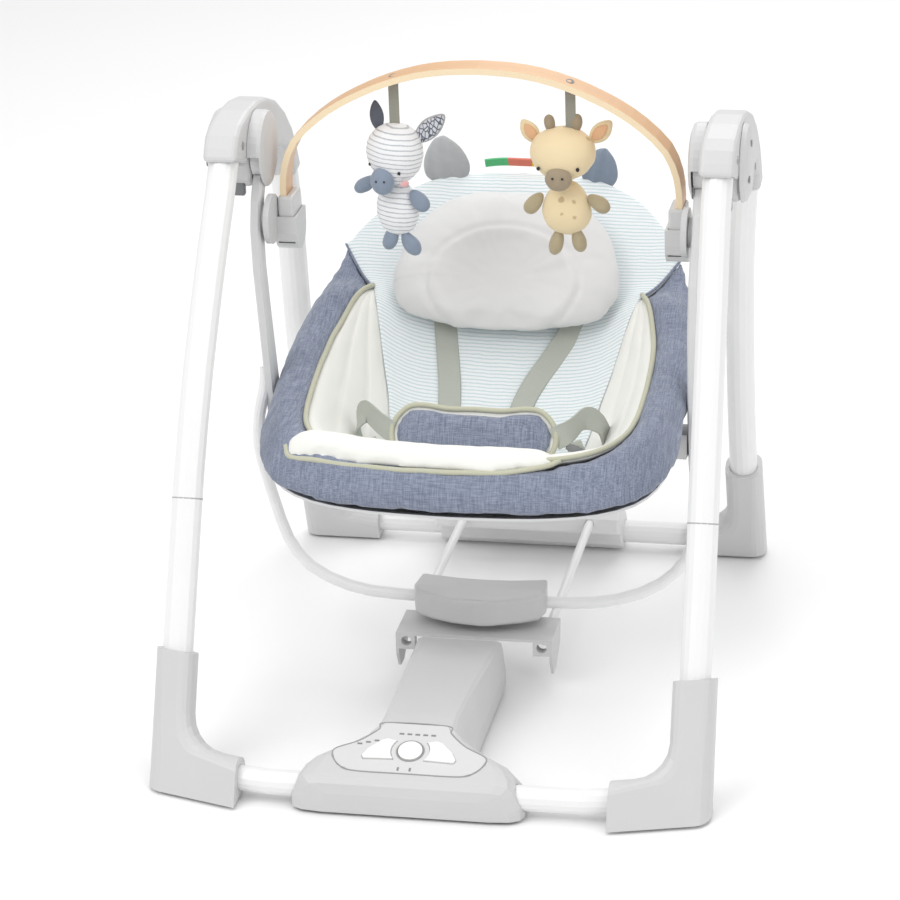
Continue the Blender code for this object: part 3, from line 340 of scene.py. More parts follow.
def stuff(piece, voxel, cap, pressure=4.0):
    """Fills a closed shape with wadding: an even skin, swollen as cloth, each point moving at most by cap."""
    alone(piece)
    skin = piece.modifiers.new("Skin", "REMESH")
    skin.mode = "VOXEL"
    skin.voxel_size = voxel
    skin.use_smooth_shade = True
    bpy.ops.object.modifier_apply(modifier=skin.name)
    ease = piece.modifiers.new("Ease", "SMOOTH")
    ease.iterations = 4
    ease.factor = 0.5
    bpy.ops.object.modifier_apply(modifier=ease.name)
    rest = [v.co.copy() for v in piece.data.vertices]
    cloth = piece.modifiers.new("Filling", "CLOTH")
    cloth.settings.use_pressure = True
    cloth.settings.uniform_pressure_force = pressure
    cloth.settings.effector_weights.gravity = 0
    cloth.settings.quality = 4
    cloth.settings.tension_stiffness = FILL_STIFFNESS
    cloth.settings.compression_stiffness = FILL_STIFFNESS
    cloth.settings.bending_stiffness = FILL_BENDING
    cloth.collision_settings.use_collision = False
    cloth.point_cache.frame_start = 1
    cloth.point_cache.frame_end = FILL_FRAMES
    for step in range(1, FILL_FRAMES + 1):
        bpy.context.scene.frame_set(step)
    now = piece.evaluated_get(bpy.context.evaluated_depsgraph_get())
    swollen = [v.co.copy() for v in now.data.vertices]
    piece.modifiers.remove(cloth)
    for v, was, new in zip(piece.data.vertices, rest, swollen):
        move = new - was
        if move.length > cap:
            move *= cap / move.length
        v.co = was + move
    bpy.context.scene.frame_set(1)
    finer = piece.modifiers.new("Finer", "SUBSURF")
    finer.levels = 1
    finer.render_levels = 1
    bpy.ops.object.modifier_apply(modifier=finer.name)
    bpy.ops.object.shade_smooth()
    return piece


def disc(name, centre, axis, radius, depth, sides=40, dish=0.0, rim=0.25, bevel=0.0003):
    """A turned button or cap: a cylinder whose outer face is inset and dished, with its edges eased."""
    bpy.ops.object.select_all(action="DESELECT")
    turn = Vector(axis).normalized().to_track_quat("Z", "Y")
    bpy.ops.mesh.primitive_cylinder_add(vertices=sides, radius=radius, depth=depth)
    piece = bpy.context.object
    piece.name = name
    piece.data.name = name
    bpy.ops.object.mode_set(mode="EDIT")
    bpy.ops.mesh.select_all(action="DESELECT")
    bpy.ops.object.mode_set(mode="OBJECT")
    for face in piece.data.polygons:
        face.select = face.normal.z > 0.9
    bpy.ops.object.mode_set(mode="EDIT")
    bpy.ops.mesh.inset(thickness=radius * rim)
    bpy.ops.mesh.inset(thickness=min(0.0004, radius * 0.15))
    bpy.ops.transform.translate(value=(0, 0, -dish or -0.0002))
    bpy.ops.object.mode_set(mode="OBJECT")
    soften(piece, bevel, 3)
    piece.data.transform(Matrix.Translation(centre) @ turn.to_matrix().to_4x4())
    return piece


def soften(piece, width, segments=3, angle=35):
    """Rounds a hard piece's edges."""
    alone(piece)
    if width:
        edge = piece.modifiers.new("Edges", "BEVEL")
        edge.width = width
        edge.segments = segments
        edge.limit_method = "ANGLE"
        edge.angle_limit = math.radians(angle)
        bpy.ops.object.modifier_apply(modifier=edge.name)
    bpy.ops.object.shade_smooth_by_angle(angle=math.radians(40))
    return piece


def slab(name, size, bevel, segments=3):
    """A small moulded block about the origin, its upper face drawn in a little, with rounded edges."""
    bpy.ops.object.select_all(action="DESELECT")
    bpy.ops.mesh.primitive_cube_add(size=1)
    piece = bpy.context.object
    piece.name = name
    piece.data.name = name
    piece.scale = size
    bpy.ops.object.transform_apply(location=False, rotation=False, scale=True)
    bpy.ops.object.mode_set(mode="EDIT")
    bpy.ops.mesh.select_all(action="DESELECT")
    bpy.ops.object.mode_set(mode="OBJECT")
    for face in piece.data.polygons:
        face.select = face.normal.z > 0.9
    bpy.ops.object.mode_set(mode="EDIT")
    bpy.ops.transform.resize(value=(0.94, 0.94, 1))
    bpy.ops.object.mode_set(mode="OBJECT")
    return soften(piece, bevel, segments)


# ---- finishes ------------------------------------------------------------


class Reading:
    """A number, colour or vector that changes over a surface, used in Python sums."""

    def __init__(self, finish, socket):
        self.finish = finish
        self.socket = socket

    def __add__(self, other):
        return self.finish.maths("ADD", self, other)

    def __sub__(self, other):
        return self.finish.maths("SUBTRACT", self, other)

    def __rsub__(self, other):
        return self.finish.maths("SUBTRACT", other, self)

    def __mul__(self, other):
        return self.finish.maths("MULTIPLY", self, other)

    def __abs__(self):
        return self.finish.maths("ABSOLUTE", self)

    __radd__ = __add__
    __rmul__ = __mul__


class Finish:
    """One procedural material on a Principled shader."""

    made = {}

    def __init__(self, name, **uniform):
        self.material = bpy.data.materials.new(name)
        self.material.use_nodes = True
        self.tree = self.material.node_tree
        self.shader = self.tree.nodes["Principled BSDF"]
        for key, value in uniform.items():
            self.shader.inputs[key.replace("_", " ")].default_value = value
        self.point = self.node("TexCoord", {}, {}, "Object")
        Finish.made[name] = self.material

    def node(self, kind, settings, inputs, out=0):
        """Adds a node of a type, with its settings first and then its sockets' values or links."""
        made = self.tree.nodes.new("ShaderNode" + kind)
        for key, value in settings.items():
            if key == "stops":
                ramp = made.color_ramp
                ramp.elements.remove(ramp.elements[-1])
                ramp.elements[0].position, ramp.elements[0].color = value[0]
                for place, colour in value[1:]:
                    ramp.elements.new(place).color = colour
            else:
                setattr(made, key, value)
        for key, value in inputs.items():
            if isinstance(value, Reading):
                self.tree.links.new(value.socket, made.inputs[key])
            else:
                made.inputs[key].default_value = value
        return Reading(self, made.outputs[out])

    def maths(self, operation, *values):
        return self.node("Math", {"operation": operation}, dict(enumerate(values)))

    def step(self, value, low, high):
        """0 below low, 1 above high, eased between."""
        return self.node("MapRange", {"interpolation_type": "SMOOTHSTEP"}, {0: value, 1: low, 2: high})

    def mix(self, share, a, b):
        """Colour a where share is 0 and colour b where it is 1."""
        return self.node("Mix", {"data_type": "RGBA"}, {0: share, 6: a, 7: b}, 2)

    def scaled(self, x, y, z, point=None):
        """The surface's point with each axis scaled."""
        return self.node("VectorMath", {"operation": "MULTIPLY"}, {0: point or self.point, 1: (x, y, z)})

    def grain(self, x, y, z, detail=2.0, point=None, rough=0.5):
        """Noise from 0 to 1, x, y and z waves to the metre along each axis."""
        return self.node("TexNoise", {}, {"Vector": self.scaled(x, y, z, point), "Scale": 1.0,
                                          "Detail": detail,
                                          "Roughness": rough})

    def parts(self, point=None):
        """The x, y and z of a point, each as a number."""
        made = self.tree.nodes.new("ShaderNodeSeparateXYZ")
        self.tree.links.new((point or self.point).socket, made.inputs[0])
        return [Reading(self, out) for out in made.outputs]

    def cloth(self):
        """The piece's own cloth map, in metres."""
        return self.node("UVMap", {"uv_map": "Cloth"}, {})

    def wear(self, height, distance=0.0005, strength=0.5):
        """Feeds a height to the shader's bump."""
        bump = self.node("Bump", {}, {"Height": height, "Distance": distance, "Strength": strength})
        self.tree.links.new(bump.socket, self.shader.inputs["Normal"])

    def colour(self, value):
        self.put("Base Color", value)

    def rough(self, value):
        self.put("Roughness", value)

    def put(self, name, value):
        if isinstance(value, Reading):
            self.tree.links.new(value.socket, self.shader.inputs[name])
        else:
            self.shader.inputs[name].default_value = value


def paint(piece, name):
    """Gives a piece one finish."""
    piece.data.materials.clear()
    piece.data.materials.append(Finish.made[name])
    return piece


def shade_of(colour, by):
    return tuple(min(1.0, max(0.0, c * by)) for c in colour[:3]) + (1.0,)


def moulded(name, colour, rough=0.42, fine=2600.0):
    """Moulded plastic with a fine spark texture and faint scuffs."""
    f = Finish(name, IOR=1.46)
    cloud = f.grain(9, 9, 9, 3)
    scuff = f.step(f.grain(160, 40, 90, 4, rough=0.7), 0.60, 0.78)
    f.colour(f.mix(cloud, shade_of(colour, 0.965), shade_of(colour, 1.03)))
    f.rough(rough - 0.05 + 0.1 * cloud + 0.12 * scuff)
    f.wear(f.grain(fine, fine, fine, 1), 0.00006, 0.35)
    return f


def coated(name, colour):
    """Powder coat on steel tube: a slight orange peel and a soft shine."""
    f = Finish(name, IOR=1.5, Coat_Roughness=0.18)
    peel = f.grain(420, 420, 420, 2)
    cloud = f.grain(6, 6, 6, 2)
    f.colour(f.mix(cloud, shade_of(colour, 0.975), shade_of(colour, 1.01)))
    f.rough(0.26 + 0.10 * cloud)
    f.put("Coat Weight", 0.18)
    f.wear(peel, 0.00012, 0.35)
    return f


def metal(name, colour, rough):
    """Turned or drawn metal with fine lines."""
    f = Finish(name, Metallic=1.0)
    lines = f.grain(60, 1800, 1800, 2)
    f.colour(f.mix(lines, shade_of(colour, 0.82), shade_of(colour, 1.08)))
    f.rough(rough - 0.06 + 0.16 * lines)
    return f


def beech(name, face, edge):
    """Bent beech ply: long grain with flecks on its faces, and pale lines of ply on its edges."""
    f = Finish(name, IOR=1.5, Coat_Roughness=0.22)
    _, y, _ = f.parts()
    bend = f.grain(5, 22, 5, 2)
    fibre = f.grain(9, 900, 9, 4, rough=0.65)
    band = f.grain(2.5, 95, 2.5, 3)
    flecks = f.step(f.grain(60, 1500, 60, 2), 0.60, 0.72)
    wood = f.mix(band, shade_of(face, 0.82), shade_of(face, 1.13))
    wood = f.mix(0.42 * fibre, wood, shade_of(face, 0.70))
    wood = f.mix(0.35 * flecks, wood, shade_of(face, 0.62))
    normal = f.node("TexCoord", {}, {}, "Normal")
    side = f.step(abs(f.parts(normal)[1]), 0.55, 0.8)
    ply = f.grain(700, 3, 700, 2)
    pale = f.mix(ply, shade_of(edge, 0.90), shade_of(edge, 1.06))
    f.colour(f.mix(side, wood, pale))
    f.rough(0.36 + 0.16 * fibre + 0.06 * bend)
    f.put("Coat Weight", 0.22)
    f.wear(fibre, 0.00015, 0.4)
    return f


def woven(name, colour, pale, pitch=900.0, slub=0.6, sheen=0.25):
    """A plain weave of coloured warp and pale weft, with slubs in both."""
    f = Finish(name, Sheen_Weight=sheen, Sheen_Roughness=0.5, IOR=1.4)
    x, y, z = f.parts()
    warp = f.grain(pitch, 55, 55, 3, rough=0.7)
    weft = f.grain(55, pitch, pitch, 3, rough=0.7)
    cloud = f.grain(14, 14, 14, 3)
    thread = f.step(warp + weft, 0.78, 1.25)
    body = f.mix(slub * thread, shade_of(colour, 0.90), pale)
    f.colour(f.mix(0.25 * cloud, body, shade_of(colour, 0.86)))
    f.rough(0.86 - 0.08 * cloud)
    over = f.maths("SINE", (x + 0.6 * y) * pitch * 2.6)
    under = f.maths("SINE", (z + 0.7 * y) * pitch * 2.6)
    f.wear(0.5 * over * under + thread, 0.00022, 0.5)
    return f


def jersey(name, colour, sheen=0.3, fuzz=0.2, fine=1.0):
    """A soft knit: rows of small stitches, a little fuzz and faint marks of the filling."""
    f = Finish(name, Sheen_Weight=sheen, Sheen_Roughness=0.45, IOR=1.38)
    x, y, z = f.parts()
    stitch = f.maths("SINE", x * 5200 * fine) * f.maths("SINE", (y + z) * 3600 * fine)
    cloud = f.grain(20, 20, 20, 3)
    nap = f.grain(750, 750, 750, 2)
    f.colour(f.mix(fuzz * nap + 0.25 * cloud, shade_of(colour, 1.02), shade_of(colour, 0.90)))
    f.rough(0.90 - 0.08 * nap)
    f.wear(0.35 * stitch + 0.6 * nap, 0.00025, 0.4)
    return f


def striped(name, ground, line, pitch, width=0.36, mapped=True, tilt=(0.0, 1.0)):
    """Soft knit with thin printed lines that waver a little."""
    f = Finish(name, Sheen_Weight=0.25, Sheen_Roughness=0.5, IOR=1.38)
    x, y, z = f.parts(f.cloth()) if mapped else f.parts()
    waver = (f.grain(60, 60, 60, 2) - 0.5) * 0.0007 * 4
    place = (y if mapped else x * tilt[0] + z * tilt[1]) + waver
    wave = f.maths("PINGPONG", place, pitch / 2) * (2 / pitch)
    broken = f.grain(500, 90, 90, 2)
    mark = 1 - f.step(wave + 0.25 * (broken - 0.5), width - 0.12, width + 0.12)
    nap = f.grain(800, 800, 800, 2)
    cloud = f.grain(20, 20, 20, 2)
    body = f.mix(0.25 * nap + 0.15 * cloud, ground, shade_of(ground, 0.88))
    f.colour(f.mix(mark, body, line))
    f.rough(0.9 - 0.08 * nap)
    f.wear(0.5 * nap - 0.3 * mark, 0.00025, 0.4)
    return f


def webbing(name, colour, pitch=0.0016):
    """Flat harness webbing: close ribs across a strap and a stitched edge."""
    f = Finish(name, Sheen_Weight=0.12, Sheen_Roughness=0.5, IOR=1.42)
    u, v, _ = f.parts(f.cloth())
    rib = f.maths("PINGPONG", v, pitch / 2) * (2 / pitch)
    cord = f.maths("PINGPONG", u + 0.5 * v, 0.0011) * 900
    edge = f.step(abs(u), 0.0105, 0.0118)
    thread = f.grain(900, 900, 900, 2)
    body = f.mix(0.35 * rib + 0.2 * thread, shade_of(colour, 0.88), shade_of(colour, 1.12))
    f.colour(f.mix(0.35 * edge, body, shade_of(colour, 0.75)))
    f.rough(0.78 - 0.1 * thread)
    f.wear(rib + 0.4 * cord + 0.4 * edge, 0.0003, 0.6)
    return f


def spotted(name, ground, spot, size=0.020, share=0.20):
    """Soft plush with scattered round spots."""
    f = Finish(name, Sheen_Weight=0.45, Sheen_Roughness=0.4, IOR=1.38)
    cells = f.node("TexVoronoi", {}, {"Vector": f.scaled(1 / size, 1 / size, 1 / size), "Scale": 1.0,
                                      "Randomness": 0.8})
    mark = 1 - f.step(cells + 0.12 * f.grain(260, 260, 260, 2), share, share + 0.06)
    nap = f.grain(1100, 1100, 1100, 3, rough=0.7)
    body = f.mix(0.35 * nap, shade_of(ground, 1.03), shade_of(ground, 0.84))
    f.colour(f.mix(0.72 * mark, body, spot))
    f.rough(0.93 - 0.08 * nap)
    f.wear(nap, 0.0006, 0.5)
    return f


def plush(name, colour, deep=0.0006):
    """Short-pile plush with a brushed nap."""
    f = Finish(name, Sheen_Weight=0.5, Sheen_Roughness=0.4, IOR=1.38)
    nap = f.grain(1100, 1100, 1100, 3, rough=0.7)
    brush = f.grain(90, 90, 160, 3)
    f.colour(f.mix(0.55 * nap + 0.4 * brush, shade_of(colour, 1.10), shade_of(colour, 0.78)))
    f.rough(0.94 - 0.08 * nap)
    f.wear(nap, deep, 0.5)
    return f


def veined(name, colour, line):
    """Cloth printed with thin broken lines, for one ear's lining."""
    f = Finish(name, Sheen_Weight=0.3, Sheen_Roughness=0.5, IOR=1.38)
    web = f.node("TexVoronoi", {"feature": "DISTANCE_TO_EDGE"},
                 {"Vector": f.scaled(240, 240, 150), "Scale": 1.0})
    mark = 1 - f.step(web, 0.05, 0.14)
    f.colour(f.mix(mark, colour, line))
    f.rough(0.9 - 0.05 * mark)
    f.wear(f.grain(900, 900, 900, 2), 0.0003, 0.4)
    return f


def glossy(name, colour, rough=0.12):
    """A hard bead or printed dot with a slight shine."""
    f = Finish(name, IOR=1.5)
    cloud = f.grain(300, 300, 300, 2)
    f.colour(f.mix(cloud, shade_of(colour, 0.9), shade_of(colour, 1.05)))
    f.rough(rough + 0.1 * cloud)
    return f


# ---- seat cloth ------------------------------------------------------------


def place_soft(piece, finish, *nodes, body="seat", fill=0.6, shift=True):
    """Finishes a padded piece: its place, its body, what it stands for and its cloth."""
    settle(piece, shift)
    paint(piece, finish)
    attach(piece, body)
    if nodes:
        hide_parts(*nodes)
    return piece


def place_hard(piece, finish, body, shift=True):
    """Finishes a hard piece: its place, its body and its material."""
    settle(piece, shift)
    paint(piece, finish)
    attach(piece, body)
    return piece


def edge_arc(low):
    """The seat's plan edge from apex to apex, round the front, or round the head if low is False."""
    fine = [(p.x, p.y) for p in spaced([(x, y, 0) for x, y in mirrored(EDGE)], 240)]
    if low:
        return [(-APEX[0], APEX[1])] + [p for p in fine if p[1] < APEX[1] - 0.004] + [APEX]
    return [p for p in fine if p[1] >= APEX[1]]


def make_roll(thick):
    """The chambray roll round the front and sides: a closed band from its piped seam out over the rim."""
    inner = spaced([(x, y, 0) for x, y in [(-APEX[0] + 0.002, APEX[1])] + mirrored(SEAM) + [(APEX[0] - 0.002,
                                                                                            APEX[1])]], 181)
    outer = spaced([(x, y, 0) for x, y in edge_arc(True)], 181)
    points, faces = [], []
    for i, (a, b) in enumerate(zip(inner, outer)):
        out = Vector((b.x, b.y - MIDDLE, 0)).normalized()
        rim = blend_of(RIM, b.y)
        ring = []
        for k in range(13):
            p = a.lerp(b, k / 12)
            ring.append((p.x, p.y, smooth_height(p.x, p.y) + thick * math.sin(math.pi * k / 12)))
        for far, z in ((0.0035, -0.001), (0.0045, -0.006), (0.0015, -0.012)):
            ring.append((b.x + out.x * far, b.y + out.y * far, rim + z))
        for k in (10, 7, 4, 1):
            p = a.lerp(b, k / 12)
            ring.append((p.x, p.y, cover_height(p.x, p.y, 0) - 0.0125))
        points.extend(ring)
    m = len(points) // 181
    for i in range(180):
        for k in range(m):
            faces.append((i * m + k, i * m + (k + 1) % m, (i + 1) * m + (k + 1) % m, (i + 1) * m + k))
    faces.append(tuple(range(m)))
    faces.append(tuple(180 * m + k for k in range(m - 1, -1, -1)))
    roll = tidy(new_piece("seat_roll", points, faces))
    stuff(roll, 0.0052, 0.0045, pressure=3.0)

    def gathers(p):
        return min(1.0, 0.35 + 1.6 * max(0.0, reach(p.x, p.y) - 0.72))

    for v in roll.data.vertices:
        angle = math.atan2(v.co.y - MIDDLE, v.co.x)
        puckers = noise.noise(Vector((angle * 13, v.co.z * 9, 3.1))) + 0.5 * noise.noise(
            Vector((angle * 34, v.co.z * 22, 7.7)))
        v.co += v.normal * (0.0016 * puckers * gathers(v.co))
    ripple(roll, 0.0011, 0.045, offset=4.0)
    return roll


def make_back(crown):
    """The striped panel up the middle, from under the insert to the head of the seat."""
    head = [(y, x) for x, y in sorted(((x, y) for x, y in edge_arc(False) if x >= 0), key=lambda p: p[1])]
    table = [(-0.10, 0.088), *PANEL, APEX[::-1], *[(y, x + 0.0012) for y, x in head if y > APEX[1]]]
    table[-1] = (0.3012, 0.0)
    run, runs = 0.0, []
    levels = []
    for i in range(46):
        levels.append(-0.10 + (APEX[1] + 0.10) * i / 45)
    top = table[-1][0]
    for i in range(1, 31):
        f = i / 30
        levels.append(APEX[1] + (top - APEX[1]) * (1 - (1 - f) ** 2))
    for i, y in enumerate(levels):
        if i:
            rise = blend_of(FLOOR, y) - blend_of(FLOOR, levels[i - 1])
            run += math.hypot(y - levels[i - 1], rise)
        runs.append(run)
    grid = [[(blend_of(table, y) * math.sin(math.pi / 2 * (2 * j / 48 - 1)), y) for j in range(49)]
            for y in levels]

    def up(s, t, x, y):
        edge = (1 - abs(2 * t - 1) ** 8) * min(1.0, (top - y) / 0.012)
        return crown * edge + 0.0025 * noise.noise(Vector((x * 14, y * 9, 1.7))) * edge

    def down(s, t, x, y):
        return 0.010 * (1 - abs(2 * t - 1) ** 6) * min(1.0, (top - y) / 0.012)

    def mark(s, t, x, y):
        k = min(range(len(levels)), key=lambda i: abs(levels[i] - y))
        return (x, runs[k])

    return pad_of("seat_back_panel", grid, up, down, mark)


def make_insert(crown):
    """The quilted cream insert between the striped panel and the piped seam, with two rows of stitching."""
    rise = [(x, y) for y, x in PANEL]
    inner_half = [(0, -0.094), (0.05, -0.088), (0.082, -0.072)] + rise
    inner = spaced([(x, y, 0) for x, y in mirrored(inner_half)], 141)
    outer = spaced([(x, y, 0) for x, y in mirrored(SEAM)], 141)
    grid = [[(a.x + (b.x - a.x) * j / 24, a.y + (b.y - a.y) * j / 24) for j in range(25)]
            for a, b in zip(inner, outer)]

    def up(s, t, x, y):
        ends = min(1.0, 12 * s, 12 * (1 - s))
        rows = 0.35 + 0.65 * abs(math.sin(3 * math.pi * t)) ** 0.5
        return crown * rows * (1 - abs(2 * t - 1) ** 10) * ends

    def down(s, t, x, y):
        return 0.007 * (1 - abs(2 * t - 1) ** 6) * min(1.0, 12 * s, 12 * (1 - s))

    return ripple(pad_of("seat_insert", grid, up, down), 0.0009, 0.022, offset=2.0)


LIP_OUT = ((-0.184, -0.136), (-0.174, -0.150), (-0.125, -0.1650), (-0.075, -0.1715), (-0.031, -0.174),
           (0.01, -0.174), (0.053, -0.172), (0.097, -0.161), (0.112, -0.150))
LIP_IN = ((-0.184, -0.134), (-0.166, -0.118), (-0.125, -0.116), (-0.075, -0.118), (-0.031, -0.119),
          (0.01, -0.119), (0.053, -0.120), (0.092, -0.126), (0.112, -0.148))


def make_lip(thick):
    """The soft cream lip over the front roll."""
    outer = spaced([(*p, 0) for p in LIP_OUT], 81)
    inner = spaced([(*p, 0) for p in LIP_IN], 81)
    grid = [[(a.x + (b.x - a.x) * j / 16, a.y + (b.y - a.y) * j / 16) for j in range(17)]
            for a, b in zip(outer, inner)]

    def up(s, t, x, y):
        return thick * (1 - abs(2 * t - 1) ** 3) ** 0.5 * min(1.0, 9 * s, 9 * (1 - s)) ** 0.5

    def down(s, t, x, y):
        return 0.004 * (1 - abs(2 * t - 1) ** 4) * min(1.0, 9 * s, 9 * (1 - s))

    lip = pad_of("seat_front_lip", grid, up, down)
    stuff(lip, 0.0042, 0.003)
    return ripple(lip, 0.0008, 0.02, offset=6.0)


def seam_path(half, lift):
    line = spaced([(x, y, 0) for x, y in mirrored(half)], 161)
    return [Vector((p.x, p.y, smooth_height(p.x, p.y) + lift)) for p in line]


class SWING_OT_seat_cover(bpy.types.Operator):
    """Make the seat's cover: roll, striped back, quilted insert, front lip, piping and a blank tag"""

    bl_idname = "swing.seat_cover"
    bl_label = "Seat Cover"

    def execute(self, context):
        sizes = context.scene.swing_sizes
        roll = place_soft(make_roll(sizes.roll_crown), "chambray", "seat_pad", fill=0.7)
        if not len(roll.data.vertices):
            raise RuntimeError("the roll came out empty")
        place_soft(make_back(0.0045), "stripes", fill=0.3)
        place_soft(make_insert(0.0065), "cream", fill=0.5)
        place_soft(make_lip(sizes.lip_crown), "cream", fill=0.6)
        piping = sizes.piping / 2
        place_soft(tube("seat_piping", seam_path(SEAM, 0.0042), piping), "piping", fill=None)
        lip_line = spaced([(*p, 0) for p in LIP_OUT], 91)
        path = [Vector((p.x, p.y - 0.0008, smooth_height(p.x, p.y) + 0.0025)) for p in lip_line]
        place_soft(tube("lip_piping", path, piping), "piping", fill=None)
        for side in (-1, 1):
            path = []
            for k in range(31):
                f = k / 30
                x = 0.153 + (APEX[0] - 0.153) * f
                y = 0.174 + (APEX[1] - 0.174) * f
                path.append(Vector((side * x, y, smooth_height(x, y) + 0.0015)))
            place_soft(tube(f"panel_seam_{'left' if side < 0 else 'right'}", path, piping * 0.5), "chambray",
                       fill=None)
        tag_path = [Vector((0.052 + dx, -0.1755 - 0.0007 * abs(dx) / 0.02,
                            smooth_height(0.052 + dx, -0.1755) - 0.0035))
                    for dx in (-0.02, -0.01, 0.0, 0.01, 0.02)]
        tag = ribbon("seat_tag", tag_path, [(0, -0.35, -1), (0, -0.35, -1)], 0.009, 0.0012)
        place_soft(tag, "tag", fill=None)
        return {"FINISHED"}


PILLOW = ((0, 0.091), (0.036, 0.088), (0.078, 0.074), (0.106, 0.050), (0.124, 0.016), (0.1315, -0.020),
          (0.1265, -0.050), (0.106, -0.072), (0.060, -0.086), (0, -0.091))


def polar(name, outline, front, behind, rings=22):
    """A closed cushion in its own plane: outline points (x, y), with its two faces given along the radius."""
    n = len(outline)
    points = [(0, 0, front(0, 0, 0))]
    for r in range(1, rings + 1):
        f = math.sin(math.pi / 2 * r / rings)
        points += [(x * f, y * f, front(f, x * f, y * f)) for x, y in outline]
    base = len(points)
    points.append((0, 0, behind(0, 0, 0)))
    for r in range(1, rings):
        f = math.sin(math.pi / 2 * r / rings)
        points += [(x * f, y * f, behind(f, x * f, y * f)) for x, y in outline]

    def at(r, k, low):
        if r == 0:
            return base if low else 0
        if r == rings or not low:
            return 1 + (r - 1) * n + k % n
        return base + 1 + (r - 1) * n + k % n

    faces = []
    for low in (False, True):
        for r in range(rings):
            for k in range(n):
                ring = [at(r, k, low), at(r + 1, k, low), at(r + 1, k + 1, low), at(r, k + 1, low)]
                face = list(dict.fromkeys(ring))
                faces.append(tuple(reversed(face)) if low else tuple(face))
    return tidy(new_piece(name, points, faces))


def make_pillow(thick, dent):
    """The head pillow: a half-moon roll round a shallow dent."""
    whole = [(x, y, 0) for x, y in PILLOW] + [(-x, y, 0) for x, y in reversed(PILLOW[1:-1])]
    outline = [(p.x, p.y) for p in spaced(whole, 96, closed=True)]

    def front(f, x, y):
        hollow = math.hypot(x / 0.083, (y + 0.034) / 0.062)
        sink = max(0.0, 1 - hollow ** 2.4)
        return -0.004 + thick * (1 - f ** 2.8) ** 0.55 - dent * sink ** 0.8

    def behind(f, x, y):
        return -0.004 - 0.013 * (1 - f ** 2.5) ** 0.6

    pillow = polar("head_pillow_soft", outline, front, behind)
    stuff(pillow, 0.0048, 0.004)
    for v in pillow.data.vertices:
        x, y = v.co.x, v.co.y
        ring = math.hypot(x / 0.087, (y + 0.034) / 0.066)
        if v.co.z > 0:
            groove = math.exp(-((ring - 1) / 0.05) ** 2)
            v.co.z -= 0.0026 * groove
        spread = math.atan2(y + 0.03, x)
        pull = noise.noise(Vector((spread * 6, 0.4, ring * 0.8)))
        v.co += v.normal * (0.0011 * pull * min(1.0, ring))
    ripple(pillow, 0.0012, 0.03, offset=9.0)
    pillow.data.transform(Matrix.Translation((0, 0.186, 0.402)) @ Matrix.Rotation(math.radians(43.5), 4, "X"))
    return pillow


BELLY = ((0, 0.0285), (0.030, 0.0280), (0.055, 0.0310), (0.073, 0.0285), (0.0865, 0.014), (0.0895, -0.003),
         (0.083, -0.019), (0.066, -0.0275), (0.032, -0.030), (0, -0.0305))


def make_belly(thick):
    """The belly pad and its place: a bone-shaped cushion and the piped line round it."""
    whole = [(x, y, 0) for x, y in BELLY] + [(-x, y, 0) for x, y in reversed(BELLY[1:-1])]
    outline = [(p.x, p.y) for p in spaced(whole, 88, closed=True)]
    inner = [(x * 0.965, y * 0.90) for x, y in outline]
    pad = polar("belly_pad_soft", inner, lambda f, x, y: thick * (1 - f ** 2.4) ** 0.5,
                lambda f, x, y: -0.006 * (1 - f ** 2.4) ** 0.5, rings=16)
    stuff(pad, 0.004, 0.003)
    for v in pad.data.vertices:
        x, y = v.co.x, v.co.y
        near = min(1.0, math.hypot(x / 0.086, y / 0.027))
        spread = math.atan2(y * 3, x)
        v.co.z += 0.0016 * near * near * noise.noise(Vector((spread * 5.5, x * 30, 2.0)))
    ripple(pad, 0.0009, 0.018, offset=1.0)
    back = polar("belly_pad_back", outline, lambda f, x, y: -0.001 + 0.0015 * (1 - f * f),
                 lambda f, x, y: -0.004 - 0.004 * (1 - f ** 3), rings=10)
    rim = tube("belly_piping", [(x, y, 0) for x, y in outline], 0.0030, closed=True)
    lean = Matrix.Translation((0.001, -0.047, 0.2845)) @ Matrix.Rotation(math.radians(62), 4, "X")
    for piece in (pad, back, rim):
        piece.data.transform(lean)
    return pad, back, rim


class SWING_OT_pillows(bpy.types.Operator):
    """Make the head pillow and the belly pad"""

    bl_idname = "swing.pillows"
    bl_label = "Pillows"

    def execute(self, context):
        sizes = context.scene.swing_sizes
        place_soft(make_pillow(sizes.pillow_thick, sizes.pillow_dent), "pillow", "head_pillow", fill=0.6)
        pad, back, rim = make_belly(0.012)
        place_soft(pad, "chambray", "belly_pad", fill=0.7)
        place_soft(back, "cream", fill=None)
        place_soft(rim, "piping", fill=None)
        return {"FINISHED"}


def on_cover(points, lift):
    return [Vector((x, y, smooth_height(x, y) + lift)) for x, y in points]


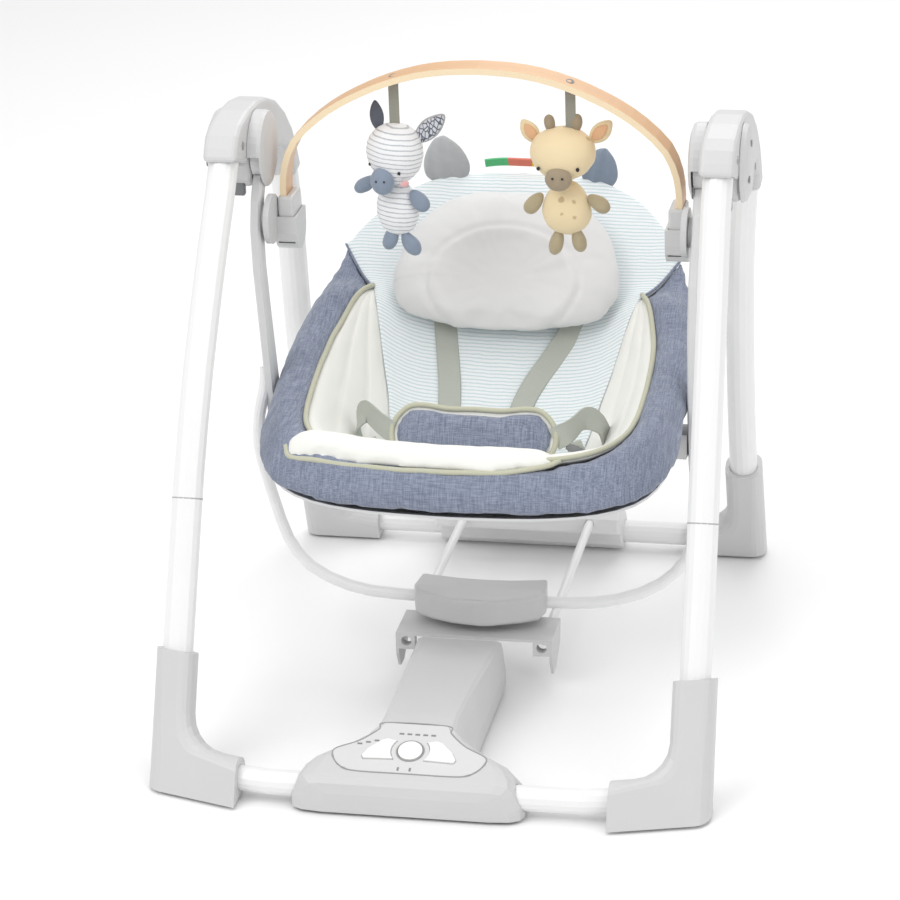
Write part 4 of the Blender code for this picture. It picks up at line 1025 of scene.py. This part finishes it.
class SWING_OT_harness(bpy.types.Operator):
    """Make the shoulder and waist straps with their adjusters"""

    bl_idname = "swing.harness"
    bl_label = "Harness"

    def execute(self, context):
        wide = context.scene.swing_sizes.strap
        left = on_cover([(-0.072, 0.172), (-0.066, 0.150), (-0.0585, 0.122), (-0.053, 0.098),
                         (-0.0495, 0.07)], 0.007)
        left += [Vector((-0.047, 0.03, 0.249)), Vector((-0.044, -0.01, 0.254)),
                 Vector((-0.042, -0.036, 0.262))]
        right = on_cover([(0.088, 0.172), (0.076, 0.150), (0.058, 0.126), (0.042, 0.106), (0.031, 0.082)],
                         0.007)
        right += [Vector((0.028, 0.04, 0.250)), Vector((0.031, 0.0, 0.254)), Vector((0.034, -0.036, 0.262))]
        for name, path in (("left", left), ("right", right)):
            strap = ribbon(f"shoulder_{name}", spaced(path, 60), [(1, 0.25, 0), (1, 0.1, 0), (1, 0, 0)], wide,
                           0.0022)
            place_soft(strap, "webbing", f"shoulder_strap_{name}", fill=None)
        left = [Vector(p) for p in ((-0.118, -0.030, 0.243), (-0.132, -0.018, 0.258), (-0.133, -0.014, 0.281),
                                    (-0.122, -0.022, 0.297), (-0.104, -0.036, 0.290),
                                    (-0.088, -0.046, 0.284))]
        right = [Vector(p) for p in ((0.135, 0.020, 0.262), (0.131, -0.004, 0.288), (0.118, -0.022, 0.300),
                                     (0.104, -0.040, 0.292), (0.088, -0.047, 0.284))]
        for name, path in (("left", left), ("right", right)):
            side = -1 if name == "left" else 1
            lie = [(0.15 * side, 0.75, 0.5), (0, 0.75, 0.55), (0.2 * side, 0.2, 1), (0.1 * side, 0.25, 1)]
            strap = ribbon(f"waist_{name}", spaced(path, 50), lie, wide, 0.0022)
            place_soft(strap, "webbing", f"waist_strap_{name}", fill=None)
        for name, at, turn in (("right", (0.112, -0.040, 0.268), 24), ("left", (-0.112, -0.042, 0.262), -16)):
            tail = [Vector(at) + Vector((0.002 * k, 0.001 * k, -0.006 * k)) for k in range(-2, 4)]
            loose = ribbon(f"waist_tail_{name}", spaced(tail, 24), [(1, 0.2, 0.1), (1, 0.3, 0)], wide * 0.72,
                           0.0020)
            place_soft(loose, "ribbed", fill=None)
            bar = slab(f"waist_adjuster_{name}", (wide * 0.95, 0.008, 0.0035), 0.001)
            bar.data.transform(Matrix.Translation(Vector(at) + Vector((0, -0.0035, 0.004)))
                               @ Matrix.Rotation(math.radians(turn), 4, "Y") @ Matrix.Rotation(1.1, 4, "X"))
            place_hard(bar, "dark_plastic", "seat")
        return {"FINISHED"}


class SWING_OT_head_flaps(bpy.types.Operator):
    """Make the two ear flaps and the three-coloured band behind the head of the seat"""

    bl_idname = "swing.head_flaps"
    bl_label = "Head Flaps"

    def execute(self, context):
        def fold(p):
            pleat = 0.20 * math.sin(p.x * 9) * (1 if p.y < 0 else 0.4)
            return Vector((p.x * (1.05 - 0.32 * p.z), p.y + pleat, p.z))

        left = ball("ear_flap_left", (-0.089, 0.291, 0.484), (0.0245, 0.007, 0.031), (0.15, -0.12, 0), fold)
        place_soft(left, "grey_velour", fill=0.4)
        right = ball("ear_flap_right", (0.090, 0.291, 0.480), (0.019, 0.0065, 0.026), (0.15, 0.2, 0), fold)
        place_soft(right, "blue_velour", fill=0.4)
        hues = ("green_loop", "coral_loop", "yellow_loop")
        for k, hue in enumerate(hues):
            path = []
            for i in range(17):
                f = (k + i / 16) / 3
                x = -0.045 + 0.082 * f
                path.append(Vector((x, 0.301 + 0.0015 * math.sin(9 * f),
                                    0.479 + 0.003 * math.sin(math.pi * f))))
            band = ribbon(f"head_band_{hue}", path, [(0, -0.3, 1), (0, -0.3, 1)], 0.0095, 0.003, ease=0.6)
            place_soft(band, hue, fill=None)
        return {"FINISHED"}


# ---- hanging toys ------------------------------------------------------------


def leaf(p):
    """A flat ear: pointed at its foot, full near its tip."""
    swell = 0.45 + 0.62 * math.sin(math.pi * (0.18 + 0.68 * (p.z + 1) / 2))
    return Vector((p.x * swell, p.y * swell - 0.25 * p.x * p.x, p.z))


def limb(p):
    """A stubby arm or leg: narrow at its seam, round at its end."""
    swell = 0.72 + 0.30 * (1 - (p.z + 1) / 2)
    return Vector((p.x * swell, p.y * swell, p.z))


def make_toy(name, parts):
    """Makes a toy's parts and rides them on its body. The first stands for the toy's solid."""
    for k, (part, at, radii, turn, shape, finish, depth) in enumerate(parts):
        small = max(radii) < 0.006
        piece = ball(f"{name}_{part}", at, radii, tuple(math.radians(a) for a in turn), shape,
                     rings=12 if small else 28, segments=18 if small else 44)
        if depth:
            ripple(piece, depth, 0.012, offset=float(k))
        nodes = (f"{name}_toy",) if k == 0 else ()
        place_soft(piece, finish, *nodes, body=name, fill=None if small else 0.7)


def toy_strap(name, x, top, foot, body):
    path = spaced([(x, 0.040, top), (x, 0.0405, (top + foot) / 2), (x, 0.041, foot)], 20)
    strap = ribbon(name, path, [(1, 0, 0), (1, 0, 0)], 0.011, 0.002)
    place_soft(strap, "toy_strap", body=body, fill=None)


class SWING_OT_zebra(bpy.types.Operator):
    """Make the striped toy that hangs on the left"""

    bl_idname = "swing.zebra"
    bl_label = "Striped Toy"

    def execute(self, context):
        y = 0.043

        def face(p):
            return Vector((p.x * (1 + 0.10 * p.z), p.y, p.z * (1 if p.z > 0 else 0.97)))

        make_toy("zebra", [
            ("body", (-0.0925, y, 0.508), (0.0235, 0.0185, 0.0300), (0, 0, 0), None, "zebra_cloth", 0.0008),
            ("head", (-0.0930, y - 0.002, 0.5700), (0.0308, 0.0255, 0.0345), (0, -7, 0), face, "zebra_cloth",
             0.0008),
            ("snout", (-0.1035, y - 0.0235, 0.5455), (0.0130, 0.0105, 0.0150), (0, -12, 0), None,
             "blue_velour", 0.0004),
            ("ear_left", (-0.1125, y + 0.002, 0.6105), (0.0072, 0.0036, 0.0175), (0, -6, 0), leaf,
             "dark_velour", 0.0004),
            ("ear_right", (-0.0560, y + 0.002, 0.5975), (0.0088, 0.0034, 0.0215), (0, 47, 0), leaf,
             "veined_cloth",
             0.0003),
            ("ear_rim", (-0.0560, y + 0.0045, 0.5975), (0.0103, 0.0034, 0.0228), (0, 47, 0), leaf,
             "grey_velour", 0.0003),
            ("arm_left", (-0.1255, y - 0.004, 0.5360), (0.0088, 0.0075, 0.0150), (0, 58, 0), limb,
             "blue_velour", 0.0005),
            ("arm_right", (-0.0665, y - 0.012, 0.5215), (0.0105, 0.0080, 0.0140), (0, -38, 0), limb,
             "blue_velour",
             0.0005),
            ("foot_left", (-0.1005, y - 0.004, 0.4760), (0.0092, 0.0085, 0.0145), (0, 20, 0), limb,
             "blue_velour",
             0.0005),
            ("foot_right", (-0.0790, y - 0.004, 0.4700), (0.0100, 0.0088, 0.0150), (0, -34, 0), limb,
             "blue_velour",
             0.0005),
            ("eye_left", (-0.1185, y - 0.0145, 0.5615), (0.0017, 0.0014, 0.0019), (0, 0, 0), None, "bead", 0),
            ("eye_right", (-0.0850, y - 0.0245, 0.5550), (0.0018, 0.0014, 0.0020), (0, 0, 0), None, "bead",
             0),
            ("cheek", (-0.0795, y - 0.0225, 0.5430), (0.0048, 0.0016, 0.0034), (0, -18, 14), None, "blush",
             0),
            ("nostril_left", (-0.1085, y - 0.0335, 0.5480), (0.0010, 0.0008, 0.0013), (0, 0, 0), None, "bead",
             0),
            ("nostril_right", (-0.0995, y - 0.0340, 0.5480), (0.0010, 0.0008, 0.0013), (0, 0, 0), None,
             "bead", 0),
        ])
        toy_strap("zebra_strap", -0.0925, 0.6492, 0.600, "zebra")
        return {"FINISHED"}


class SWING_OT_giraffe(bpy.types.Operator):
    """Make the spotted toy that hangs on the right"""

    bl_idname = "swing.giraffe"
    bl_label = "Spotted Toy"

    def execute(self, context):
        y = 0.043

        def face(p):
            return Vector((p.x * (1 + 0.07 * p.z), p.y, p.z * 0.98))

        def pear(p):
            return Vector((p.x * (1 - 0.16 * p.z), p.y * (1 - 0.1 * p.z), p.z))

        make_toy("giraffe", [
            ("body", (0.0917, y, 0.5160), (0.0262, 0.0200, 0.0300), (0, 0, 0), pear, "giraffe_cloth", 0.0008),
            ("head", (0.0885, y - 0.002, 0.5760), (0.0352, 0.0265, 0.0300), (0, 0, 0), face, "giraffe_cloth",
             0.0008),
            ("snout", (0.0870, y - 0.0250, 0.5545), (0.0145, 0.0085, 0.0132), (0, 0, 0), None, "taupe_velour",
             0.0004),
            ("horn_left", (0.0745, y, 0.6085), (0.0062, 0.0055, 0.0095), (0, -8, 0), None, "taupe_velour",
             0.0004),
            ("horn_right", (0.1035, y, 0.6095), (0.0062, 0.0055, 0.0100), (0, 6, 0), None, "taupe_velour",
             0.0004),
            ("ear_left", (0.0530, y + 0.002, 0.5985), (0.0088, 0.0036, 0.0150), (0, -34, 0), leaf,
             "giraffe_plain",
             0.0003),
            ("ear_left_lining", (0.0540, y - 0.001, 0.5985), (0.0056, 0.0026, 0.0105), (0, -34, 0), leaf,
             "peach_cloth",
             0.0002),
            ("ear_right", (0.1290, y + 0.002, 0.6000), (0.0092, 0.0036, 0.0165), (0, 44, 0), leaf,
             "giraffe_plain",
             0.0003),
            ("ear_right_lining", (0.1280, y - 0.001, 0.6000), (0.0058, 0.0026, 0.0115), (0, 44, 0), leaf,
             "peach_cloth",
             0.0002),
            ("arm_left", (0.0570, y - 0.004, 0.5205), (0.0095, 0.0078, 0.0140), (0, 40, 0), limb,
             "olive_velour", 0.0005),
            ("arm_right", (0.1265, y - 0.004, 0.5225), (0.0095, 0.0078, 0.0140), (0, -52, 0), limb,
             "olive_velour",
             0.0005),
            ("foot_left", (0.0805, y - 0.004, 0.4775), (0.0088, 0.0085, 0.0148), (0, 14, 0), limb,
             "olive_velour",
             0.0005),
            ("foot_right", (0.1045, y - 0.004, 0.4810), (0.0088, 0.0085, 0.0140), (0, -14, 0), limb,
             "olive_velour",
             0.0005),
            ("eye_left", (0.0650, y - 0.0215, 0.5645), (0.0019, 0.0014, 0.0022), (0, 0, 0), None, "bead", 0),
            ("eye_right", (0.1075, y - 0.0235, 0.5650), (0.0020, 0.0014, 0.0024), (0, 0, 0), None, "bead", 0),
            ("nostril_left", (0.0820, y - 0.0335, 0.5575), (0.0013, 0.0008, 0.0013), (0, 0, 0), None, "bead",
             0),
            ("nostril_right", (0.0925, y - 0.0335, 0.5575), (0.0013, 0.0008, 0.0013), (0, 0, 0), None, "bead",
             0),
        ])
        toy_strap("giraffe_strap", 0.0975, 0.6482, 0.600, "giraffe")
        return {"FINISHED"}


# ---- small fittings ------------------------------------------------------------


class SWING_OT_frame_fittings(bpy.types.Operator):
    """Make the legs' joint rings and snap buttons, the hub screws and the bar's fasteners"""

    bl_idname = "swing.frame_fittings"
    bl_label = "Frame Fittings"

    def execute(self, context):
        for side, name in ((-1, "left"), (1, "right")):
            down = Vector((side * 0.0007, -0.046, -0.099)).normalized()
            ring = disc(f"leg_joint_{name}", (side * 0.2700, -0.2235, 0.2720), down, 0.01625, 0.0014,
                        sides=64, dish=0,
                        rim=0.1, bevel=0.0002)
            place_hard(ring, "joint_shadow", "front_frame")
            snap = disc(f"snap_button_{name}", (side * 0.2557, 0.2215, 0.292), (0, -1, 0.08), 0.0036, 0.0030,
                        sides=28,
                        dish=-0.0008, rim=0.45, bevel=0.0005)
            place_hard(snap, "steel", "rear_frame")
            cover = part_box(f"hub_outer_cover_{name}")
            middle = (cover[0] + cover[1]) / 2
            face = cover[1].x if side > 0 else cover[0].x
            for k, (dy, dz) in enumerate(((-0.008, 0.024), (0.026, -0.012), (-0.026, -0.010))):
                well = disc(f"hub_screw_well_{name}_{k}", (face, middle.y + dy, middle.z + dz), (side, 0, 0),
                            0.0038,
                            0.0008, sides=32, dish=0.0002, rim=0.2, bevel=0.0002)
                place_hard(well, "shadow_plastic", "rear_frame", shift=False)
                head = disc(f"hub_screw_{name}_{k}", (face + side * 0.0002, middle.y + dy, middle.z + dz),
                            (side, 0, 0),
                            0.0026, 0.0010, sides=24, dish=0.0003, rim=0.5, bevel=0.0002)
                place_hard(head, "steel", "rear_frame", shift=False)
        for name, x, z in (("left", -0.0925, 0.6568), ("right", 0.0975, 0.6555)):
            lean = Vector((0.22 if x > 0 else -0.22, 0, 1)).normalized()
            head = disc(f"bar_fastener_{name}", (0, 0, 0), (0, 0, 1), 0.0052, 0.0016, sides=32, dish=0.0006,
                        rim=0.3)
            spread = Matrix.Diagonal((1.35, 0.85, 1, 1))
            turn = lean.to_track_quat("Z", "Y").to_matrix().to_4x4()
            head.data.transform(Matrix.Translation((x, 0.040, z)) @ turn @ spread)
            place_hard(head, "dark_plastic", "toy_bar")
        return {"FINISHED"}


PANEL_LINE = ((0.033, -0.002), (-0.033, -0.002), (-0.0385, -0.012), (-0.056, -0.029), (-0.079, -0.042),
              (-0.080, -0.052), (-0.072, -0.064), (-0.056, -0.071), (0, -0.0715), (0.056, -0.071),
              (0.072, -0.064),
              (0.080, -0.052), (0.079, -0.042), (0.056, -0.029), (0.0385, -0.012))


class SWING_OT_console_marks(bpy.types.Operator):
    """Make the console's indicator windows, the rear screws' marks, and a dark bead round the panel and a
    dark ring round the dial, which are painted shade of their seams
    """

    bl_idname = "swing.console_marks"
    bl_label = "Console Marks"

    def execute(self, context):
        lay = Matrix.Translation((-0.016, -0.305, 0.068)) @ Matrix.Rotation(math.radians(19.6), 4, "X")
        windows = [(-0.013 + 0.0083 * k, -0.0165, 0.0052, 0.0022) for k in range(5)]
        windows += [(-0.0540 + 0.0085 * k, -0.0335 + 0.0028 * k, 0.0052, 0.0022) for k in range(3)]
        windows += [(-0.0085 + 0.0125 * k, -0.0655, 0.0022, 0.0048) for k in range(2)]
        for k, (x, y, w, h) in enumerate(windows):
            window = slab(f"indicator_{k}", (w, h, 0.0008), 0.0003, 2)
            window.data.transform(lay @ Matrix.Translation((x, y, 0.0003)))
            place_hard(window, "indicator", "base_beam")
        # Dark bead round the panel's edge: painted shade of the seam between panel and housing.
        line = [lay @ p for p in spaced([(x * 0.985, y, 0.0002) for x, y in PANEL_LINE], 160, closed=True)]
        place_hard(tube("panel_lip_shade", line, 0.0007, closed=True, sides=8), "painted_seam_shade", "base_beam")
        # Dark ring round the dial: painted shade of the gap round it.
        ring = [lay @ Vector((0.0140 * math.cos(a), -0.040 + 0.0140 * math.sin(a), 0.0004))
                for a in (2 * math.pi * k / 72 for k in range(72))]
        place_hard(tube("dial_gap_shade", ring, 0.0008, closed=True, sides=8), "painted_seam_shade", "base_beam")
        for x in (-0.078, 0.074):
            mark = disc(f"rear_screw_{'left' if x < 0 else 'right'}", (x, 0.2795, 0.0621), (0, 0, 1), 0.0042,
                        0.0008,
                        sides=28, dish=0.0003, rim=0.35, bevel=0.0002)
            place_hard(mark, "shadow_plastic", "rear_link")
        return {"FINISHED"}


# ---- finishes and stage ------------------------------------------------------------

CAD_FINISHES = (
    ("foot_pad", "rubber"), ("cross_tube", "white_coat"), ("leg", "white_coat"), ("loop_tube", "white_coat"),
    ("link_rod", "white_coat"), ("fold_pin", "steel"), ("swing_axle", "steel"),
    ("magnet_housing", "mid_plastic"),
    ("magnet", "steel"), ("circuit_board", "board"), ("fold_button", "dark_plastic"),
    ("toy_bar_plug", "plug_plastic"),
    ("toy_bar_cup", "plastic"), ("toy_bar", "beech"), ("control_panel", "panel_plastic"),
    ("power_button", "white_key"),
    ("timer_button", "white_key"), ("music_button", "white_key"), ("battery_door", "plastic"),
    ("rear_housing", "pale_plastic"), ("seat_frame", "pale_plastic"), ("swing_arm", "arm_plastic"),
)


class SWING_OT_finishes(bpy.types.Operator):
    """Build every material and lay them on the moving frame's own parts"""

    bl_idname = "swing.finishes"
    bl_label = "Finishes"

    def execute(self, context):
        hue = context.scene.swing_colours
        grey = tuple(hue.plastic)
        moulded("plastic", grey)
        moulded("arm_plastic", shade_of(grey, 1.12))
        moulded("mid_plastic", shade_of(grey, 0.90), 0.38)
        moulded("pale_plastic", shade_of(grey, 1.22))
        moulded("plug_plastic", shade_of(grey, 1.02), 0.36)
        moulded("panel_plastic", shade_of(grey, 1.10), 0.36)
        # Darker grey for the panel's bead and the dial ring: painted seam shade.
        moulded("painted_seam_shade", shade_of(grey, 0.55), 0.5)
        moulded("white_key", (0.86, 0.86, 0.85, 1), 0.34)
        moulded("dark_plastic", (0.20, 0.205, 0.21, 1), 0.45)
        moulded("shadow_plastic", shade_of(grey, 0.55), 0.6)
        moulded("joint_shadow", (0.42, 0.42, 0.42, 1), 0.5)
        moulded("indicator", shade_of(grey, 0.40), 0.4)
        moulded("rubber", (0.045, 0.045, 0.047, 1), 0.75, 1400)
        moulded("board", (0.05, 0.16, 0.08, 1), 0.5)
        coated("white_coat", tuple(hue.tube))
        metal("steel", (0.52, 0.51, 0.50, 1), 0.34)
        beech("beech", tuple(hue.wood), (0.86, 0.70, 0.47, 1))
        woven("chambray", tuple(hue.chambray), (0.42, 0.47, 0.58, 1))
        striped("stripes", tuple(hue.white_cloth), tuple(hue.stripe), 0.0043)
        jersey("cream", tuple(hue.cream))
        jersey("pillow", tuple(hue.pillow), fine=0.7)
        jersey("piping", tuple(hue.piping), fuzz=0.35)
        jersey("tag", (0.78, 0.84, 0.84, 1))
        webbing("webbing", tuple(hue.webbing))
        webbing("ribbed", shade_of(tuple(hue.webbing), 1.12), 0.0034)
        webbing("toy_strap", (0.30, 0.30, 0.25, 1))
        striped("zebra_cloth", (0.82, 0.83, 0.84, 1), (0.46, 0.48, 0.51, 1), 0.0052, 0.24, mapped=False,
                tilt=(0.10, 1.0))
        spotted("giraffe_cloth", (0.80, 0.66, 0.42, 1), (0.46, 0.33, 0.17, 1))
        plush("giraffe_plain", (0.80, 0.66, 0.42, 1))
        plush("blue_velour", (0.25, 0.30, 0.38, 1))
        plush("dark_velour", (0.11, 0.12, 0.15, 1))
        plush("grey_velour", (0.46, 0.47, 0.48, 1))
        plush("taupe_velour", (0.36, 0.29, 0.20, 1))
        plush("olive_velour", (0.44, 0.37, 0.24, 1))
        plush("peach_cloth", (0.74, 0.44, 0.25, 1))
        plush("green_loop", (0.10, 0.48, 0.20, 1), 0.0002)
        plush("coral_loop", (0.70, 0.20, 0.14, 1), 0.0002)
        plush("yellow_loop", (0.85, 0.55, 0.04, 1), 0.0002)
        plush("blush", (0.75, 0.42, 0.42, 1), 0.0002)
        veined("veined_cloth", (0.58, 0.60, 0.64, 1), (0.10, 0.11, 0.14, 1))
        glossy("bead", (0.012, 0.012, 0.014, 1))
        for name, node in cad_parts.items():
            finish = next((f for word, f in CAD_FINISHES if word in name), "plastic")
            if "foot" in name and "pad" not in name:
                finish = "plastic"
            for slot in node.material_slots:
                slot.material = Finish.made[finish]
        return {"FINISHED"}


class SWING_OT_stage(bpy.types.Operator):
    """Make the pale floor, the soft lights and the camera"""

    bl_idname = "swing.stage"
    bl_label = "Stage"

    def execute(self, context):
        hue = context.scene.swing_colours
        bpy.ops.object.select_all(action="DESELECT")
        bpy.ops.mesh.primitive_plane_add(size=14, location=(0, 0, -0.0006))
        floor = bpy.context.object
        floor.name = "stage_floor"
        bpy.ops.object.mode_set(mode="EDIT")
        bpy.ops.mesh.select_all(action="SELECT")
        bpy.ops.mesh.subdivide(number_cuts=4)
        bpy.ops.object.mode_set(mode="OBJECT")
        f = Finish("floor", Roughness=0.55)
        f.colour(f.mix(f.grain(0.8, 0.8, 0.8, 2), shade_of(tuple(hue.floor), 0.99), tuple(hue.floor)))
        f.rough(0.5 + 0.1 * f.grain(3, 3, 3, 2))
        paint(floor, "floor")

        scene = context.scene
        world = bpy.data.worlds.new("studio")
        world.use_nodes = True
        world.node_tree.nodes["Background"].inputs["Color"].default_value = (1, 1, 1, 1)
        world.node_tree.nodes["Background"].inputs["Strength"].default_value = 0.62
        scene.world = world
        scene.view_settings.view_transform = "Standard"
        low, high = CAD_BOX
        middle = (low + high) / 2
        for name, at, size, power in (("key", (-1.9, -2.4, 3.3), 2.6, 62),
                                      ("fill", (2.6, -1.9, 2.0), 2.4, 26),
                                      ("back", (0.4, 2.9, 2.9), 2.6, 40), ("top", (0, 0, 3.6), 2.8, 34)):
            light = bpy.data.lights.new(name, "AREA")
            light.size = size
            light.energy = power
            lamp = bpy.data.objects.new(name, light)
            lamp.location = at
            lamp.rotation_mode = "QUATERNION"
            lamp.rotation_quaternion = (middle - Vector(at)).to_track_quat("-Z", "Y")
            scene.collection.objects.link(lamp)
        yaw, pitch, roll = (math.radians(a) for a in (11.52, 22.19, -1.75))
        ahead = Vector((-math.sin(yaw) * math.cos(pitch), math.cos(yaw) * math.cos(pitch), -math.sin(pitch)))
        right = Vector((math.cos(yaw), math.sin(yaw), 0))
        over = right.cross(ahead)
        across = math.cos(roll) * right + math.sin(roll) * over
        upward = math.cos(roll) * over - math.sin(roll) * right
        lens = bpy.data.cameras.new("camera")
        lens.sensor_width = 36
        lens.lens = 140.5
        lens.clip_start, lens.clip_end = 0.1, 60
        camera = bpy.data.objects.new("camera", lens)
        turn = Matrix((across, upward, -ahead)).transposed()
        camera.matrix_world = Matrix.Translation((0.6734, -3.4752 + SHIFT, 1.6938)) @ turn.to_4x4()
        scene.collection.objects.link(camera)
        scene.camera = camera
        return {"FINISHED"}


# ---- add-on ------------------------------------------------------------


def colour(name, description, value):
    return bpy.props.FloatVectorProperty(name=name, description=description, subtype="COLOR", size=4, min=0,
                                         max=1,
                                         default=(*value, 1))


def length(name, description, value):
    return bpy.props.FloatProperty(name=name, description=description, default=value, min=0, soft_max=0.1,
                                   subtype="DISTANCE", unit="LENGTH")


class SwingColours(bpy.types.PropertyGroup):
    plastic: colour("Plastic", "The hubs, feet and console", (0.60, 0.60, 0.60))
    tube: colour("Tubes", "The powder coat on the legs", (0.84, 0.84, 0.84))
    wood: colour("Beech", "The bar's face", (0.72, 0.43, 0.22))
    chambray: colour("Chambray", "The roll and belly pad", (0.165, 0.190, 0.268))
    white_cloth: colour("White Cloth", "The striped panel's ground", (0.84, 0.87, 0.88))
    stripe: colour("Stripe", "The striped panel's lines", (0.58, 0.68, 0.71))
    cream: colour("Cream", "The quilted insert and the lip", (0.84, 0.84, 0.80))
    pillow: colour("Pillow", "The head pillow", (0.72, 0.72, 0.72))
    piping: colour("Piping", "The piped seams", (0.52, 0.52, 0.40))
    webbing: colour("Webbing", "The harness straps", (0.47, 0.49, 0.44))
    floor: colour("Floor", "The pale floor", (0.93, 0.93, 0.93))


class SwingSizes(bpy.types.PropertyGroup):
    roll_crown: length("Roll Crown", "How far the side roll's upper face swells", 0.004)
    lip_crown: length("Lip Crown", "How far the front lip stands up", 0.014)
    pillow_thick: length("Pillow Thickness", "The head pillow's front swell", 0.032)
    pillow_dent: length("Pillow Dent", "How far the pillow's middle sinks", 0.017)
    piping: length("Piping", "The piped seams' diameter", 0.0058)
    strap: length("Strap", "The harness straps' width", 0.025)


OPERATORS = (SWING_OT_finishes, SWING_OT_stage, SWING_OT_seat_cover, SWING_OT_pillows, SWING_OT_harness,
             SWING_OT_head_flaps, SWING_OT_zebra, SWING_OT_giraffe, SWING_OT_frame_fittings,
             SWING_OT_console_marks)


class SWING_PT_panel(bpy.types.Panel):
    """The swing's sizes, colours and pieces"""

    bl_label = "Baby Swing"
    bl_idname = "SWING_PT_panel"
    bl_space_type = "VIEW_3D"
    bl_region_type = "UI"
    bl_category = "Swing"

    def draw(self, context):
        for group in (context.scene.swing_sizes, context.scene.swing_colours):
            for key in group.__annotations__:
                self.layout.prop(group, key)
        for operator in OPERATORS:
            self.layout.operator(operator.bl_idname)


CLASSES = (SwingColours, SwingSizes, *OPERATORS, SWING_PT_panel)


def register():
    for cls in CLASSES:
        bpy.utils.register_class(cls)
    bpy.types.Scene.swing_colours = bpy.props.PointerProperty(type=SwingColours)
    bpy.types.Scene.swing_sizes = bpy.props.PointerProperty(type=SwingSizes)


def unregister():
    del bpy.types.Scene.swing_sizes
    del bpy.types.Scene.swing_colours
    for cls in reversed(CLASSES):
        bpy.utils.unregister_class(cls)


def main():
    register()
    for operator in OPERATORS:
        group, name = operator.bl_idname.split(".")
        getattr(getattr(bpy.ops, group), name)()


if __name__ == "__main__":
    main()
